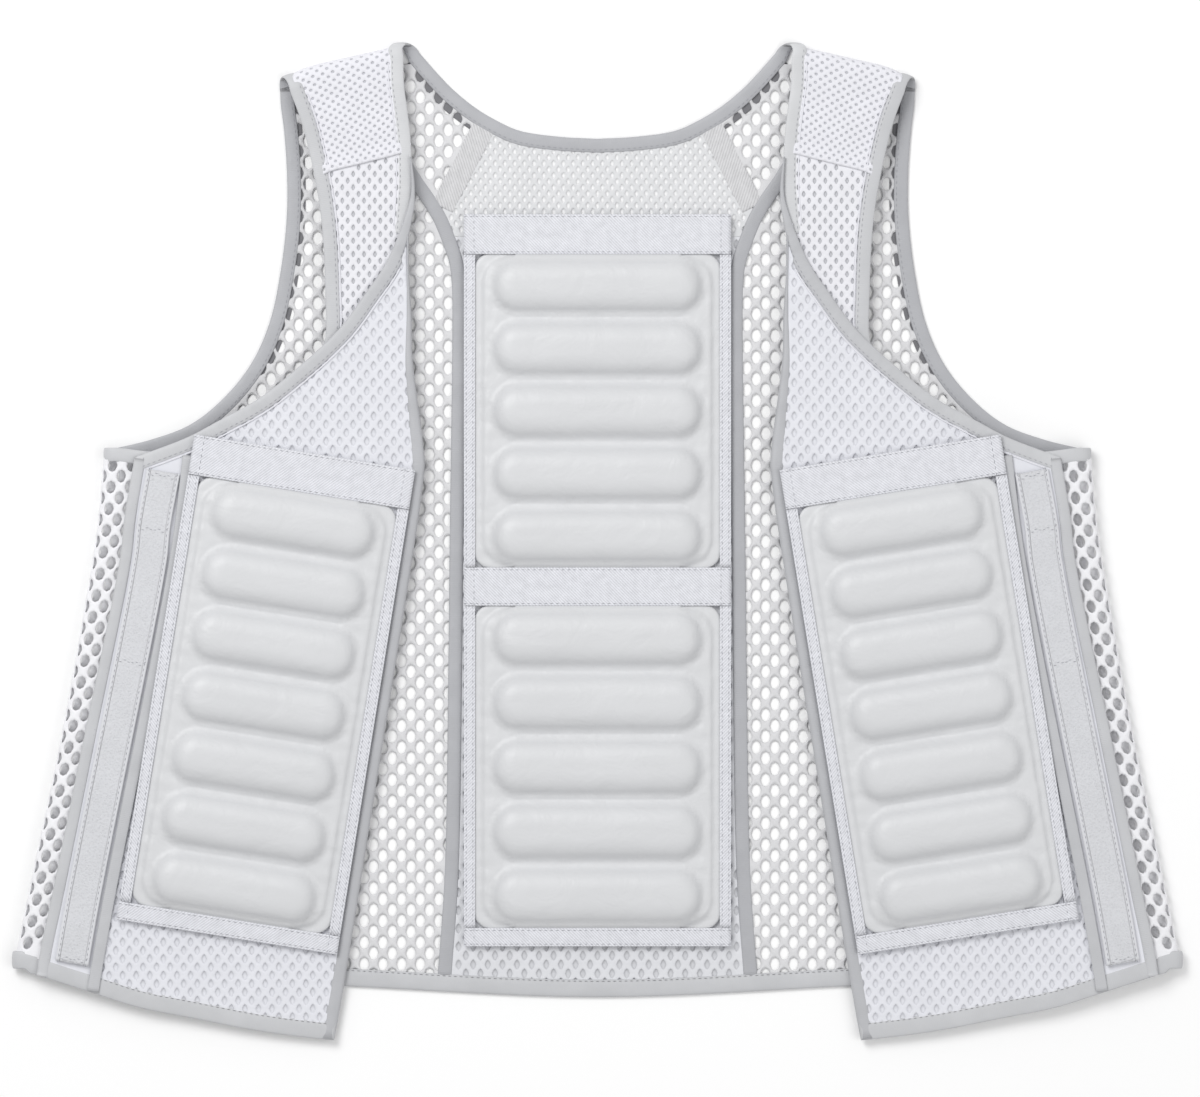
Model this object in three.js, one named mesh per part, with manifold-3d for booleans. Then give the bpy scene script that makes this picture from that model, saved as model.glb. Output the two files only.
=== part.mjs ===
// Cooling vest of white mesh, laid open on its back with its inside up.
// The frame is in millimetres: +X to the right and +Y towards the shoulders as seen from above, +Z up.
// The origin is on the floor under the middle of the vest. Left and right are as seen from above.
// The back lies on the floor. At each side the net rolls over to the front panel, which lies above the
// back. Along its fold line the front panel turns outwards again, and this front flap lies on top.

import * as THREE from 'three';
import { mergeGeometries, mergeVertices } from 'three/addons/utils/BufferGeometryUtils.js';
import Module from 'manifold-3d';

const wasm = await Module();
wasm.setup();

// Overall size of the vest as it lies
const HALF_WIDTH = 350;
const LENGTH = 598;

// Cloth, and the folded tape that binds its edges
const CLOTH = 1.4;
const TAPE_WALL = 0.3;
const BINDING_WIDTH = 8.4;
const FRONT_BINDING_WIDTH = 7;
const BAND_WIDTH = 14;
const GAP = 0.3;

// Rolls of cloth at the sides and over the shoulders, and the seam allowance that lies on the floor
const SIDE_ROLL = 7;
const SHOULDER_ROLL = 6;
const ROLL_SEAM = 10;
const SIDE_NET_WIDTH = 45;

// Height of the front layer's middle above the floor at the neck end of the shoulder and at the side hem
const SHOULDER_HEIGHT = 10;
const SIDE_HEIGHT = 9;
const LAYER_CLEARANCE = 0.4;

// Coarse net: the gaps are drawn larger than the real ones, which are 4.7 by 6.9 and 11.2 apart
const NET_GAP_WIDTH = 24;
const NET_GAP_HEIGHT = 35;
const NET_STRAND = 21;
const SIDE_NET_FINENESS = 0.6;

// Hook-and-loop strip, pocket tapes and their wall
const HOOK_WIDTH = 20;
const HOOK_THICKNESS = 1.8;
const TAPE_THICKNESS = 1;
const TOP_TAPE = 24;
const MIDDLE_TAPE = 23;
const BOTTOM_TAPE = 11;
const SIDE_TAPE = 6.8;
const TAPE_LAP = 2;

// Cooling pack: a flat flange, a tray inside it and raised bars
const PACK_FLANGE = 1.6;
const PACK_TRAY = 4;
const PACK_HEIGHT = 12;
const TRAY_MARGIN = 5;
const BAR_MARGIN = 9;
const BAR_SPACE = 3.5;
const PACK_CORNER = 13;

// Places on the vest. Columns: across is the distance from the centre line as a share of HALF_WIDTH, and
// up is the distance from the lowest hem as a share of LENGTH. The rows are those of the right side.
const SIDE_EDGE = [
  { across: 0.843, up: 0.594 }, { across: 0.856, up: 0.512 }, { across: 0.887, up: 0.401 },
  { across: 0.920, up: 0.296 }, { across: 0.956, up: 0.196 }, { across: 1.000, up: 0.072 },
];
const ARMHOLE_BACK = [
  { across: 0.537, up: 0.951 }, { across: 0.543, up: 0.938 }, { across: 0.537, up: 0.910 },
  { across: 0.532, up: 0.863 }, { across: 0.533, up: 0.823 }, { across: 0.543, up: 0.772 },
  { across: 0.562, up: 0.720 }, { across: 0.594, up: 0.678 }, { across: 0.644, up: 0.642 },
  { across: 0.699, up: 0.617 }, { across: 0.767, up: 0.602 },
];
const ARMHOLE_FRONT = [
  { across: 0.742, up: 0.590 }, { across: 0.676, up: 0.599 }, { across: 0.613, up: 0.617 },
  { across: 0.558, up: 0.637 }, { across: 0.510, up: 0.658 }, { across: 0.479, up: 0.678 },
  { across: 0.466, up: 0.704 }, { across: 0.466, up: 0.752 }, { across: 0.471, up: 0.812 },
  { across: 0.481, up: 0.855 }, { across: 0.504, up: 0.915 }, { across: 0.526, up: 0.951 },
];
const SHOULDER = [
  { across: 0.531, up: 0.965 }, { across: 0.500, up: 0.974 }, { across: 0.431, up: 0.984 },
  { across: 0.364, up: 0.993 }, { across: 0.326, up: 0.9985 },
];
const YOKE_SEAM = [{ across: 0.486, up: 0.863 }, { across: 0.319, up: 0.894 }];
const NECK_BACK = [
  { across: 0.000, up: 0.904 }, { across: 0.064, up: 0.906 }, { across: 0.133, up: 0.912 },
  { across: 0.172, up: 0.922 }, { across: 0.209, up: 0.935 }, { across: 0.247, up: 0.953 },
  { across: 0.272, up: 0.968 }, { across: 0.305, up: 0.990 },
];
const NECK_FRONT = [
  { across: 0.332, up: 0.987 }, { across: 0.331, up: 0.959 }, { across: 0.325, up: 0.932 },
  { across: 0.320, up: 0.905 }, { across: 0.318, up: 0.872 }, { across: 0.320, up: 0.838 },
  { across: 0.324, up: 0.808 },
];
const FLAP_NECK = [
  { across: 0.332, up: 0.821 }, { across: 0.342, up: 0.805 }, { across: 0.364, up: 0.777 },
  { across: 0.393, up: 0.752 }, { across: 0.442, up: 0.713 }, { across: 0.513, up: 0.674 },
  { across: 0.580, up: 0.643 }, { across: 0.651, up: 0.620 }, { across: 0.699, up: 0.605 },
  { across: 0.792, up: 0.584 },
];
const FLAP_EDGE = [
  { across: 0.792, up: 0.584 }, { across: 0.809, up: 0.524 }, { across: 0.817, up: 0.482 },
  { across: 0.876, up: 0.311 }, { across: 0.935, up: 0.141 }, { across: 0.952, up: 0.094 },
  { across: 0.960, up: 0.066 },
];
const FLAP_HEM = [
  { across: 0.451, up: 0.000 }, { across: 0.500, up: 0.003 }, { across: 0.586, up: 0.010 },
  { across: 0.699, up: 0.023 }, { across: 0.784, up: 0.033 }, { across: 0.870, up: 0.049 },
  { across: 0.960, up: 0.066 },
];
const FRONT_HEM = [
  { across: 0.451, up: 0.002 }, { across: 0.500, up: 0.005 }, { across: 0.586, up: 0.012 },
  { across: 0.699, up: 0.025 }, { across: 0.784, up: 0.035 }, { across: 0.870, up: 0.051 },
  { across: 1.000, up: 0.072 },
];
const BACK_HEM = [
  { across: 0.000, up: 0.043 }, { across: 0.430, up: 0.054 }, { across: 1.000, up: 0.072 },
];

// The fold line from the neck to its kink and on to the hem. The column width is the width of the tape
// seen along it, as a share of BINDING_WIDTH.
const FOLD_UPPER = [
  { across: 0.323, up: 0.807, width: 0.15 }, { across: 0.322, up: 0.764, width: 0.2 },
  { across: 0.318, up: 0.727, width: 0.4 }, { across: 0.316, up: 0.682, width: 0.6 },
  { across: 0.300, up: 0.607, width: 0.95 }, { across: 0.295, up: 0.577, width: 1 },
];
const FOLD_LOWER = [
  { across: 0.295, up: 0.577, width: 1 }, { across: 0.303, up: 0.537, width: 1 },
  { across: 0.317, up: 0.482, width: 1 }, { across: 0.379, up: 0.255, width: 1 },
  { across: 0.442, up: 0.027, width: 1 }, { across: 0.451, up: 0.000, width: 1 },
];

// Middle lines of the back seam, of the diagonal yoke band, and of the strips that lie on the flap
const BACK_SEAM = [
  { across: 0.264, up: 0.050 }, { across: 0.250, up: 0.169 }, { across: 0.244, up: 0.369 },
  { across: 0.242, up: 0.482 }, { across: 0.237, up: 0.722 }, { across: 0.238, up: 0.758 },
  { across: 0.243, up: 0.782 }, { across: 0.254, up: 0.801 }, { across: 0.271, up: 0.825 },
  { across: 0.292, up: 0.845 }, { across: 0.318, up: 0.867 }, { across: 0.342, up: 0.893 },
  { across: 0.359, up: 0.933 }, { across: 0.366, up: 0.980 },
];
const YOKE_BAND = [{ across: 0.191, up: 0.920 }, { across: 0.266, up: 0.835 }];
const FLAP_SEAM = [
  { across: 0.699, up: 0.586 }, { across: 0.722, up: 0.482 }, { across: 0.836, up: 0.141 },
  { across: 0.858, up: 0.068 },
];
const HOOK_STRIP = [
  { across: 0.742, up: 0.570 }, { across: 0.759, up: 0.515 }, { across: 0.765, up: 0.482 },
  { across: 0.880, up: 0.141 }, { across: 0.899, up: 0.078 },
];
const HOOK_JOINTS = [0, 0.118, 0.387, 1];

// Pockets. across and up are the middle of the opening, width is a share of HALF_WIDTH, height a share
// of LENGTH, turn is in degrees, and bars counts the bars of the pack inside it.
const POCKETS = {
  backUpper: { across: 0, up: 0.631, width: 0.419, height: 0.314, turn: 0, bars: 5 },
  backLower: { across: 0, up: 0.274, width: 0.419, height: 0.323, turn: 0, bars: 5 },
  flap: { across: 0.570, up: 0.336, width: 0.343, height: 0.433, turn: 9.2, bars: 7 },
};

const FINISHES = {
  net: { color: '#e4e4e9', roughness: 0.75, metalness: 0 },
  mesh: { color: '#e6e6ec', roughness: 0.8, metalness: 0 },
  yoke: { color: '#ebebf1', roughness: 0.8, metalness: 0 },
  tape: { color: '#e3e4ea', roughness: 0.7, metalness: 0 },
  binding: { color: '#bcbdc2', roughness: 0.6, metalness: 0 },
  hook: { color: '#d1d1d6', roughness: 0.9, metalness: 0 },
  pack: { color: '#dcdee0', roughness: 0.35, metalness: 0 },
};

// Heights that follow from the cloth
const BINDING = CLOTH + 2 * TAPE_WALL;
const BACK_MIDDLE = BINDING / 2;
const FOLD_HEIGHT = BINDING + LAYER_CLEARANCE + BINDING / 2;
const FLAP_LIFT = BINDING + LAYER_CLEARANCE;
const ON_BACK = BINDING + GAP;
const ON_FLAP = FLAP_LIFT + BINDING / 2 + GAP;

// Height of the bodies that cut through every layer
const TALL = 5 * PACK_HEIGHT;


// How finely curves are drawn: steps round a half turn, and sections of the rolled panels
const TURN_STEPS = 4;
const SIDE_SPANS = 5;
const YOKE_SPANS = 4;
const YOKE_INSET = 0.045;
const BAR_SIDES = 8;

const TO_SHOULDER = new THREE.Vector3(0, 1, 0);
const TO_HEM = new THREE.Vector3(0, -1, 0);

// A row of a table as a point in the plan
function spot({ across, up }) {
  return new THREE.Vector2(across * HALF_WIDTH, (up - 0.5) * LENGTH);
}

// A smooth line through points of the plan, and its points at shares of its length
function smooth(points) {
  const path = points.map(({ x, y }) => new THREE.Vector3(x, y, 0));
  return new THREE.CatmullRomCurve3(path, false, 'centripetal');
}

function pointOn(curve, share) {
  const { x, y } = curve.getPointAt(share);
  return new THREE.Vector2(x, y);
}

// A smooth line through the rows of a table, and through points before and after them
function trace(rows, pieces, before = [], after = []) {
  const curve = smooth([...before, ...rows.map(spot), ...after]);
  return Array.from({ length: pieces + 1 }, (_, i) => pointOn(curve, i / pieces));
}

// The front layer is a plane through three heights: the shoulder, the side hem and the fold's hem
const FRONT_CORNERS = [SHOULDER.at(-1), SIDE_EDGE.at(-1), FOLD_LOWER.at(-1)].map(spot);
const FRONT_HEIGHTS = [SHOULDER_HEIGHT, SIDE_HEIGHT, FOLD_HEIGHT];

function frontHeight({ x, y }) {
  const [a, b, c] = FRONT_CORNERS.map((corner) => new THREE.Vector3(corner.x, corner.y, 0));
  const shares = THREE.Triangle.getBarycoord(new THREE.Vector3(x, y, 0), a, b, c, new THREE.Vector3());
  return shares.dot(new THREE.Vector3(...FRONT_HEIGHTS));
}

// The same plane as a matrix that lifts flat pieces onto the front layer
const FRONT_BASE = frontHeight({ x: 0, y: 0 });
const FRONT_SLOPE = new THREE.Matrix4()
  .makeShear(0, frontHeight({ x: 1, y: 0 }) - FRONT_BASE, 0, frontHeight({ x: 0, y: 1 }) - FRONT_BASE, 0, 0)
  .setPosition(0, 0, FRONT_BASE);

// A closed geometry as a solid that can be cut and joined
function solid(geometry) {
  const bare = new THREE.BufferGeometry();
  bare.setAttribute('position', geometry.getAttribute('position'));
  bare.setIndex(geometry.index);
  const merged = mergeVertices(bare, 1e-4);
  const corners = merged.index.array;
  const kept = [];
  for (let i = 0; i < corners.length; i += 3) {
    const [a, b, c] = [corners[i], corners[i + 1], corners[i + 2]];
    if (a !== b && b !== c && c !== a) kept.push(a, b, c);
  }
  const vertProperties = new Float32Array(merged.getAttribute('position').array);
  const triVerts = new Uint32Array(kept);
  return new wasm.Manifold(new wasm.Mesh({ numProp: 3, vertProperties, triVerts }));
}

function geometryOf(body) {
  const mesh = body.getMesh();
  const geometry = new THREE.BufferGeometry();
  geometry.setAttribute('position', new THREE.BufferAttribute(mesh.vertProperties, 3));
  geometry.setIndex(new THREE.BufferAttribute(mesh.triVerts, 1));
  return geometry;
}

// Cuts the cutters away and keeps the main body, without the scraps outside the bindings
function trim(body, cutters) {
  const cut = cutters.reduce((rest, cutter) => rest.subtract(cutter), body);
  const pieces = cut.decompose();
  return pieces.reduce((largest, piece) => (piece.volume() > largest.volume() ? piece : largest));
}

// A flat plate of an outline in the plan
function plate(outline, bottom, thickness) {
  const shape = new THREE.Shape(outline);
  return new THREE.ExtrudeGeometry(shape, { depth: thickness, bevelEnabled: false }).translate(0, 0, bottom);
}

// A sheet over rows of points, with half its thickness on each side of them
function sheet(rows, thickness, ring = false) {
  const last = rows.length - 1;
  const width = rows[0].length;
  const rowAt = (i) => rows[ring ? (i + rows.length) % rows.length : THREE.MathUtils.clamp(i, 0, last)];
  const pointAt = (i, j) => rowAt(i)[THREE.MathUtils.clamp(j, 0, width - 1)];
  const upper = [];
  const lower = [];
  rows.forEach((row, i) => row.forEach((point, j) => {
    const along = pointAt(i + 1, j).clone().sub(pointAt(i - 1, j));
    const across = pointAt(i, j + 1).clone().sub(pointAt(i, j - 1));
    const normal = along.cross(across).setLength(thickness / 2);
    upper.push(point.clone().add(normal));
    lower.push(point.clone().sub(normal));
  }));
  const index = [];
  const quad = (a, b, c, d) => index.push(a, b, c, a, c, d);
  const top = (i, j) => (i % rows.length) * width + j;
  const under = (i, j) => upper.length + top(i, j);
  const spans = ring ? rows.length : last;
  const edge = width - 1;
  for (let i = 0; i < spans; i += 1) {
    for (let j = 0; j < edge; j += 1) {
      quad(top(i, j), top(i + 1, j), top(i + 1, j + 1), top(i, j + 1));
      quad(under(i, j), under(i, j + 1), under(i + 1, j + 1), under(i + 1, j));
    }
    quad(top(i + 1, 0), top(i, 0), under(i, 0), under(i + 1, 0));
    quad(top(i, edge), top(i + 1, edge), under(i + 1, edge), under(i, edge));
  }
  for (let j = 0; j < edge && !ring; j += 1) {
    quad(top(0, j), top(0, j + 1), under(0, j + 1), under(0, j));
    quad(top(last, j + 1), top(last, j), under(last, j), under(last, j + 1));
  }
  const geometry = new THREE.BufferGeometry().setFromPoints([...upper, ...lower]);
  geometry.setIndex(index);
  return geometry;
}

// Stations of a strip along a line in the plan. inward turns the line's direction towards the cloth:
// 1 to the left of travel and -1 to the right.
function edgeStations(points, heightAt, inward) {
  return points.map((point, i) => {
    const ahead = points[Math.min(i + 1, points.length - 1)];
    const behind = points[Math.max(i - 1, 0)];
    const along = ahead.clone().sub(behind).normalize();
    const across = new THREE.Vector3(-along.y * inward, along.x * inward, 0);
    return { at: new THREE.Vector3(point.x, point.y, heightAt(point)), across };
  });
}

// A half turn of cloth from one layer to the other, which bulges out to the tip
function turn(from, to, tip, steps) {
  const bulge = new THREE.Vector3(tip.x - (from.x + to.x) / 2, tip.y - (from.y + to.y) / 2, 0);
  return Array.from({ length: steps + 1 }, (_, i) => {
    const angle = Math.PI * (i / steps - 0.5);
    const point = new THREE.Vector3().lerpVectors(from, to, (1 + Math.sin(angle)) / 2);
    return point.addScaledVector(bulge, Math.cos(angle));
  });
}

// The half turn as stations of a strip, without its two ends, which other stations give
function turnStations(from, to, tip, across, steps) {
  return turn(from, to, tip, steps).slice(1, -1).map((at) => ({ at, across }));
}

// A strip of tape along stations. clearance makes it larger on every side, to cut its neighbours.
function strip(stations, width, thickness, { clearance = 0, ring = false, shares = null } = {}) {
  const rows = stations.map(({ at, across }, i) => {
    const reach = width * (shares ? shares[i] : 1) + clearance;
    return [at.clone().addScaledVector(across, -clearance), at.clone().addScaledVector(across, reach)];
  });
  if (!ring && clearance > 0) {
    const extend = (end, next) => end.map((point, j) => {
      const along = point.clone().sub(next[j]).setLength(clearance);
      return point.clone().add(along);
    });
    rows.unshift(extend(rows[0], rows[1]));
    rows.push(extend(rows.at(-1), rows.at(-2)));
  }
  return solid(sheet(rows, thickness + 2 * clearance, ring));
}

// A strip and its cutter, which is larger by GAP
function tape(stations, width, thickness, options = {}) {
  return {
    body: strip(stations, width, thickness, options),
    cutter: strip(stations, width, thickness, { ...options, clearance: GAP }),
  };
}

// Stations moved sideways, so that a strip given by its middle line starts at its edge
function fromMiddle(stations, width) {
  return stations.map(({ at, across }) => ({ at: at.clone().addScaledVector(across, -width / 2), across }));
}

const onFloor = () => BACK_MIDDLE;
const onFront = (point) => frontHeight(point);
const onFlap = (point) => frontHeight(point) + FLAP_LIFT;

// Lines of the plan, right side
const underarm = spot(SIDE_EDGE[0]);
const underarmTuck = new THREE.Vector2(underarm.x - SIDE_ROLL, underarm.y);
const sideLine = trace(SIDE_EDGE, 12);
const armholeBackLine = trace(ARMHOLE_BACK, 18, [], [underarmTuck]);
const armholeFrontLine = trace(ARMHOLE_FRONT, 20, [underarmTuck]);
const shoulderLine = trace(SHOULDER, 8);
const neckBackLine = trace(NECK_BACK, 12);
const neckFrontLine = trace(NECK_FRONT, 8);
const flapNeckLine = trace(FLAP_NECK, 14);
const flapEdgeLine = trace(FLAP_EDGE, 10);
const flapHemLine = trace(FLAP_HEM, 6);
const frontHemLine = trace(FRONT_HEM, 8);
const foldLine = [...trace(FOLD_UPPER, 5), ...trace(FOLD_LOWER, 5).slice(1)];
const foldShares = [...FOLD_UPPER, ...FOLD_LOWER.slice(1)].map(({ width }) => width);
const backSeamLine = trace(BACK_SEAM, 20);

// The outer edge of the side at a distance from the centre, and the place where the roll's seam lies
function sideSpan(distance) {
  return sideLine.map((point) => new THREE.Vector2(point.x - distance, point.y));
}
const rollFoot = SIDE_ROLL + ROLL_SEAM;

// Sections of the shoulder yoke: from the yoke seam to the shoulder's top, at shares of the width.
// The first and last lie under the middle of the bindings.
function yokeSection(share) {
  const [outer, inner] = YOKE_SEAM.map(spot);
  const seam = outer.lerp(inner, share);
  const top = pointOn(smooth(SHOULDER.map(spot)), share);
  const up = top.clone().sub(seam).normalize();
  return { seam, top, up };
}
const yokeShares = Array.from({ length: YOKE_SPANS + 1 },
  (_, i) => THREE.MathUtils.lerp(YOKE_INSET, 1 - YOKE_INSET, i / YOKE_SPANS));
const shoulderFoot = [0, ...yokeShares, 1].map((share) => {
  const { top, up } = yokeSection(share);
  return top.addScaledVector(up, -(SHOULDER_ROLL + ROLL_SEAM + GAP));
});

// Bindings of the right side
const backArmholeStations = edgeStations(armholeBackLine, onFloor, -1);
const frontArmholeStations = edgeStations(armholeFrontLine, onFront, 1);
const alongShoulder = shoulderLine.at(-1).clone().sub(shoulderLine[0]).normalize();
const acrossShoulder = new THREE.Vector3(alongShoulder.x, alongShoulder.y, 0);
const armhole = tape([
  ...backArmholeStations,
  ...turnStations(backArmholeStations.at(-1).at, frontArmholeStations[0].at, underarm, TO_HEM,
    TURN_STEPS),
  ...frontArmholeStations,
  ...turnStations(frontArmholeStations.at(-1).at, backArmholeStations[0].at, shoulderLine[0],
    acrossShoulder, TURN_STEPS),
], BINDING_WIDTH, BINDING, { ring: true });

const neckBackStations = edgeStations(neckBackLine, onFloor, -1);
const neckFrontStations = edgeStations(neckFrontLine, onFront, 1);
const neckHalf = [
  ...neckBackStations,
  ...turnStations(neckBackStations.at(-1).at, neckFrontStations[0].at, shoulderLine.at(-1),
    neckFrontStations[0].across, TURN_STEPS),
  ...neckFrontStations,
];
const mirrored = ({ at, across }) => ({
  at: new THREE.Vector3(-at.x, at.y, at.z),
  across: new THREE.Vector3(-across.x, across.y, across.z),
});
const neck = tape([...neckHalf.slice(1).reverse().map(mirrored), ...neckHalf], BINDING_WIDTH, BINDING);

const sideHem = spot(FRONT_HEM.at(-1));
const frontHemStations = edgeStations(
  [...frontHemLine.slice(0, -1), new THREE.Vector2(sideHem.x - SIDE_ROLL, sideHem.y)], onFront, 1);
const hemSeam = (distance) => new THREE.Vector3(sideHem.x - distance, sideHem.y, BACK_MIDDLE);
const frontHem = tape([
  { at: hemSeam(rollFoot), across: TO_SHOULDER },
  { at: hemSeam(SIDE_ROLL), across: TO_SHOULDER },
  ...turnStations(hemSeam(SIDE_ROLL), frontHemStations.at(-1).at, sideHem, TO_SHOULDER,
    TURN_STEPS),
  ...frontHemStations.reverse(),
], BINDING_WIDTH, BINDING);

const backHemHalf = trace(BACK_HEM, 8).filter(({ x }) => x < sideHem.x - rollFoot - GAP);
backHemHalf.push(new THREE.Vector2(sideHem.x - rollFoot - GAP, sideHem.y));
const backHemLine = [
  ...backHemHalf.slice(1).reverse().map(({ x, y }) => new THREE.Vector2(-x, y)),
  ...backHemHalf,
];
const backHem = tape(edgeStations(backHemLine, onFloor, 1), BINDING_WIDTH, BINDING);

const flapNeck = tape(edgeStations(flapNeckLine, onFlap, -1), BINDING_WIDTH, BINDING);
const flapHem = tape(edgeStations(flapHemLine, onFlap, 1), BINDING_WIDTH, BINDING);
const flapEdge = tape(edgeStations(flapEdgeLine, onFlap, -1), FRONT_BINDING_WIDTH, BINDING);
const fold = tape(
  edgeStations(foldLine, (point) => frontHeight(point) + FLAP_LIFT / 2, 1),
  BINDING_WIDTH, BINDING + FLAP_LIFT, { shares: foldShares });
const backSeam = tape(
  fromMiddle(edgeStations(backSeamLine, onFloor, 1), BINDING_WIDTH), BINDING_WIDTH, BINDING);
const yokeBand = tape(
  fromMiddle(edgeStations(YOKE_BAND.map(spot), () => CLOTH / 2, 1), BAND_WIDTH), BAND_WIDTH, CLOTH);

// Blocks over the parts of the plan that belong to a neighbour
function block(outline) {
  return solid(plate(outline, -TALL / 2, TALL));
}
const FAR = new THREE.Vector2(2 * HALF_WIDTH, LENGTH);
const sideBlock = block([
  ...sideSpan(rollFoot + GAP),
  new THREE.Vector2(sideHem.x - rollFoot - GAP, -FAR.y),
  new THREE.Vector2(FAR.x, -FAR.y),
  new THREE.Vector2(FAR.x, underarm.y + BINDING_WIDTH),
  new THREE.Vector2(underarm.x - rollFoot - GAP, underarm.y + BINDING_WIDTH),
]);
const sideNetBlock = block([
  ...sideSpan(SIDE_NET_WIDTH + GAP),
  new THREE.Vector2(sideHem.x - SIDE_NET_WIDTH - GAP, -FAR.y),
  new THREE.Vector2(FAR.x, -FAR.y),
  new THREE.Vector2(FAR.x, underarm.y + BINDING_WIDTH),
  new THREE.Vector2(underarm.x - SIDE_NET_WIDTH - GAP, underarm.y + BINDING_WIDTH),
]);
const shoulderBlock = block([
  ...shoulderFoot,
  new THREE.Vector2(shoulderFoot.at(-1).x - ROLL_SEAM, FAR.y),
  new THREE.Vector2(shoulderFoot[0].x + ROLL_SEAM, FAR.y),
]);
const [seamOuter, seamInner] = YOKE_SEAM.map(spot);
const seamStep = seamOuter.clone().sub(seamInner).setLength(BINDING_WIDTH);
const seamGap = new THREE.Vector2(0, -GAP);
const yokeBlock = block([
  seamOuter.clone().add(seamStep).add(seamGap),
  new THREE.Vector2(FAR.x, FAR.y),
  new THREE.Vector2(0, FAR.y),
  seamInner.clone().sub(seamStep).add(seamGap),
].reverse());

// Net: gaps in staggered rows, cut where the whole cell round a gap lies in the cloth
function hexagon(width, height) {
  return new THREE.CylinderGeometry(1, 1, TALL, 6).rotateX(Math.PI / 2).rotateZ(Math.PI / 6)
    .scale(width / Math.sqrt(3), height / 2, 1);
}

function netted(body, base, fineness = 1) {
  const { min, max } = body.boundingBox();
  const gaps = [];
  const [gapWidth, gapHeight, strand] = [NET_GAP_WIDTH, NET_GAP_HEIGHT, NET_STRAND]
    .map((size) => size * fineness);
  const pitch = { x: gapWidth + strand, y: 0.75 * gapHeight + strand };
  const cellWidth = gapWidth + strand / 2;
  const cellHeight = gapHeight + strand / 2;
  const lift = TALL / 2 + base;
  const cell = solid(hexagon(cellWidth, cellHeight));
  const wanted = 0.999 * CLOTH * cell.volume() / TALL;
  for (let row = 0, y = min[1]; y < max[1]; row += 1, y += pitch.y) {
    for (let x = min[0] + (row % 2) * pitch.x / 2; x < max[0]; x += pitch.x) {
      const held = body.intersect(solid(hexagon(cellWidth, cellHeight).translate(x, y, lift)));
      if (held.volume() > wanted) gaps.push(hexagon(gapWidth, gapHeight).translate(x, y, lift));
    }
  }
  return gaps.length > 0 ? trim(body, [solid(mergeGeometries(gaps))]) : body;
}

// Panels of the back, right side
const backNet = trim(solid(plate([
  ...backSeamLine, ...[...shoulderLine].reverse(), ...armholeBackLine.slice(0, -1),
  ...sideLine, ...trace(BACK_HEM, 8).reverse().filter(({ x }) => x > backSeamLine[0].x),
].reverse(), 0, CLOTH)), [backSeam.cutter, armhole.cutter, backHem.cutter, sideBlock, shoulderBlock]);

const seamTop = backSeamLine.filter(({ y }) => y > spot(YOKE_BAND[1]).y);
const yokeNet = trim(solid(plate([
  ...seamTop, ...shoulderLine.filter(({ x }) => x < seamTop.at(-1).x),
  ...[...neckBackLine].reverse().filter(({ x }) => x > spot(YOKE_BAND[0]).x),
  ...YOKE_BAND.map(spot),
], 0, CLOTH)), [backSeam.cutter, neck.cutter, yokeBand.cutter, shoulderBlock]);

const centreHalf = [
  ...trace(BACK_HEM, 8).filter(({ x }) => x < backSeamLine[0].x),
  ...backSeamLine.filter(({ y }) => y < spot(YOKE_BAND[1]).y),
  spot(YOKE_BAND[1]),
  ...[...neckBackLine].reverse().filter(({ x }) => x < spot(YOKE_BAND[0]).x),
];
const flip = ({ x, y }) => new THREE.Vector2(-x, y);
const mirrorBody = (body) => body.mirror([1, 0, 0]);
const seams = [backSeam.cutter, yokeBand.cutter];
const centrePanel = trim(solid(plate(
  [...centreHalf, ...centreHalf.slice(1, -1).reverse().map(flip)], 0, CLOTH)),
[neck.cutter, backHem.cutter, ...seams, ...seams.map(mirrorBody)]);

// Rolled panels, right side: each section runs from the front layer over the roll to the floor
function rolledSection(front, tip, up, roll) {
  const crest = tip.clone().addScaledVector(up, -roll);
  const foot = crest.clone().addScaledVector(up, -ROLL_SEAM);
  const raised = (point, height) => new THREE.Vector3(point.x, point.y, height);
  const upper = raised(crest, frontHeight(crest));
  const lower = raised(crest, CLOTH / 2);
  const middle = front.clone().lerp(crest, 0.5);
  return [
    raised(front, frontHeight(front)), raised(middle, frontHeight(middle)),
    ...turn(upper, lower, tip, TURN_STEPS), raised(foot, CLOTH / 2),
  ];
}
const yokeRows = yokeShares.map((share) => {
  const { seam, top, up } = yokeSection(share);
  return rolledSection(seam, top, up, SHOULDER_ROLL);
});
const shoulderYoke = trim(solid(sheet(yokeRows, CLOTH)), [armhole.cutter, neck.cutter]);

const sideCurve = smooth(SIDE_EDGE.map(spot));
const sideInset = BINDING_WIDTH / 2 / sideCurve.getLength();
const sideRows = Array.from({ length: SIDE_SPANS + 1 }, (_, i) => {
  const tip = pointOn(sideCurve, THREE.MathUtils.lerp(sideInset, 1 - sideInset, i / SIDE_SPANS));
  const front = new THREE.Vector2(tip.x - SIDE_NET_WIDTH, tip.y);
  return rolledSection(front, tip, new THREE.Vector2(1, 0), SIDE_ROLL);
}).reverse();
const sideNetCloth = trim(
  solid(sheet(sideRows, CLOTH)), [armhole.cutter, frontHem.cutter, backHem.cutter]);
const sideNet = netted(sideNetCloth, BINDING + SIDE_HEIGHT / 4, SIDE_NET_FINENESS);

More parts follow.
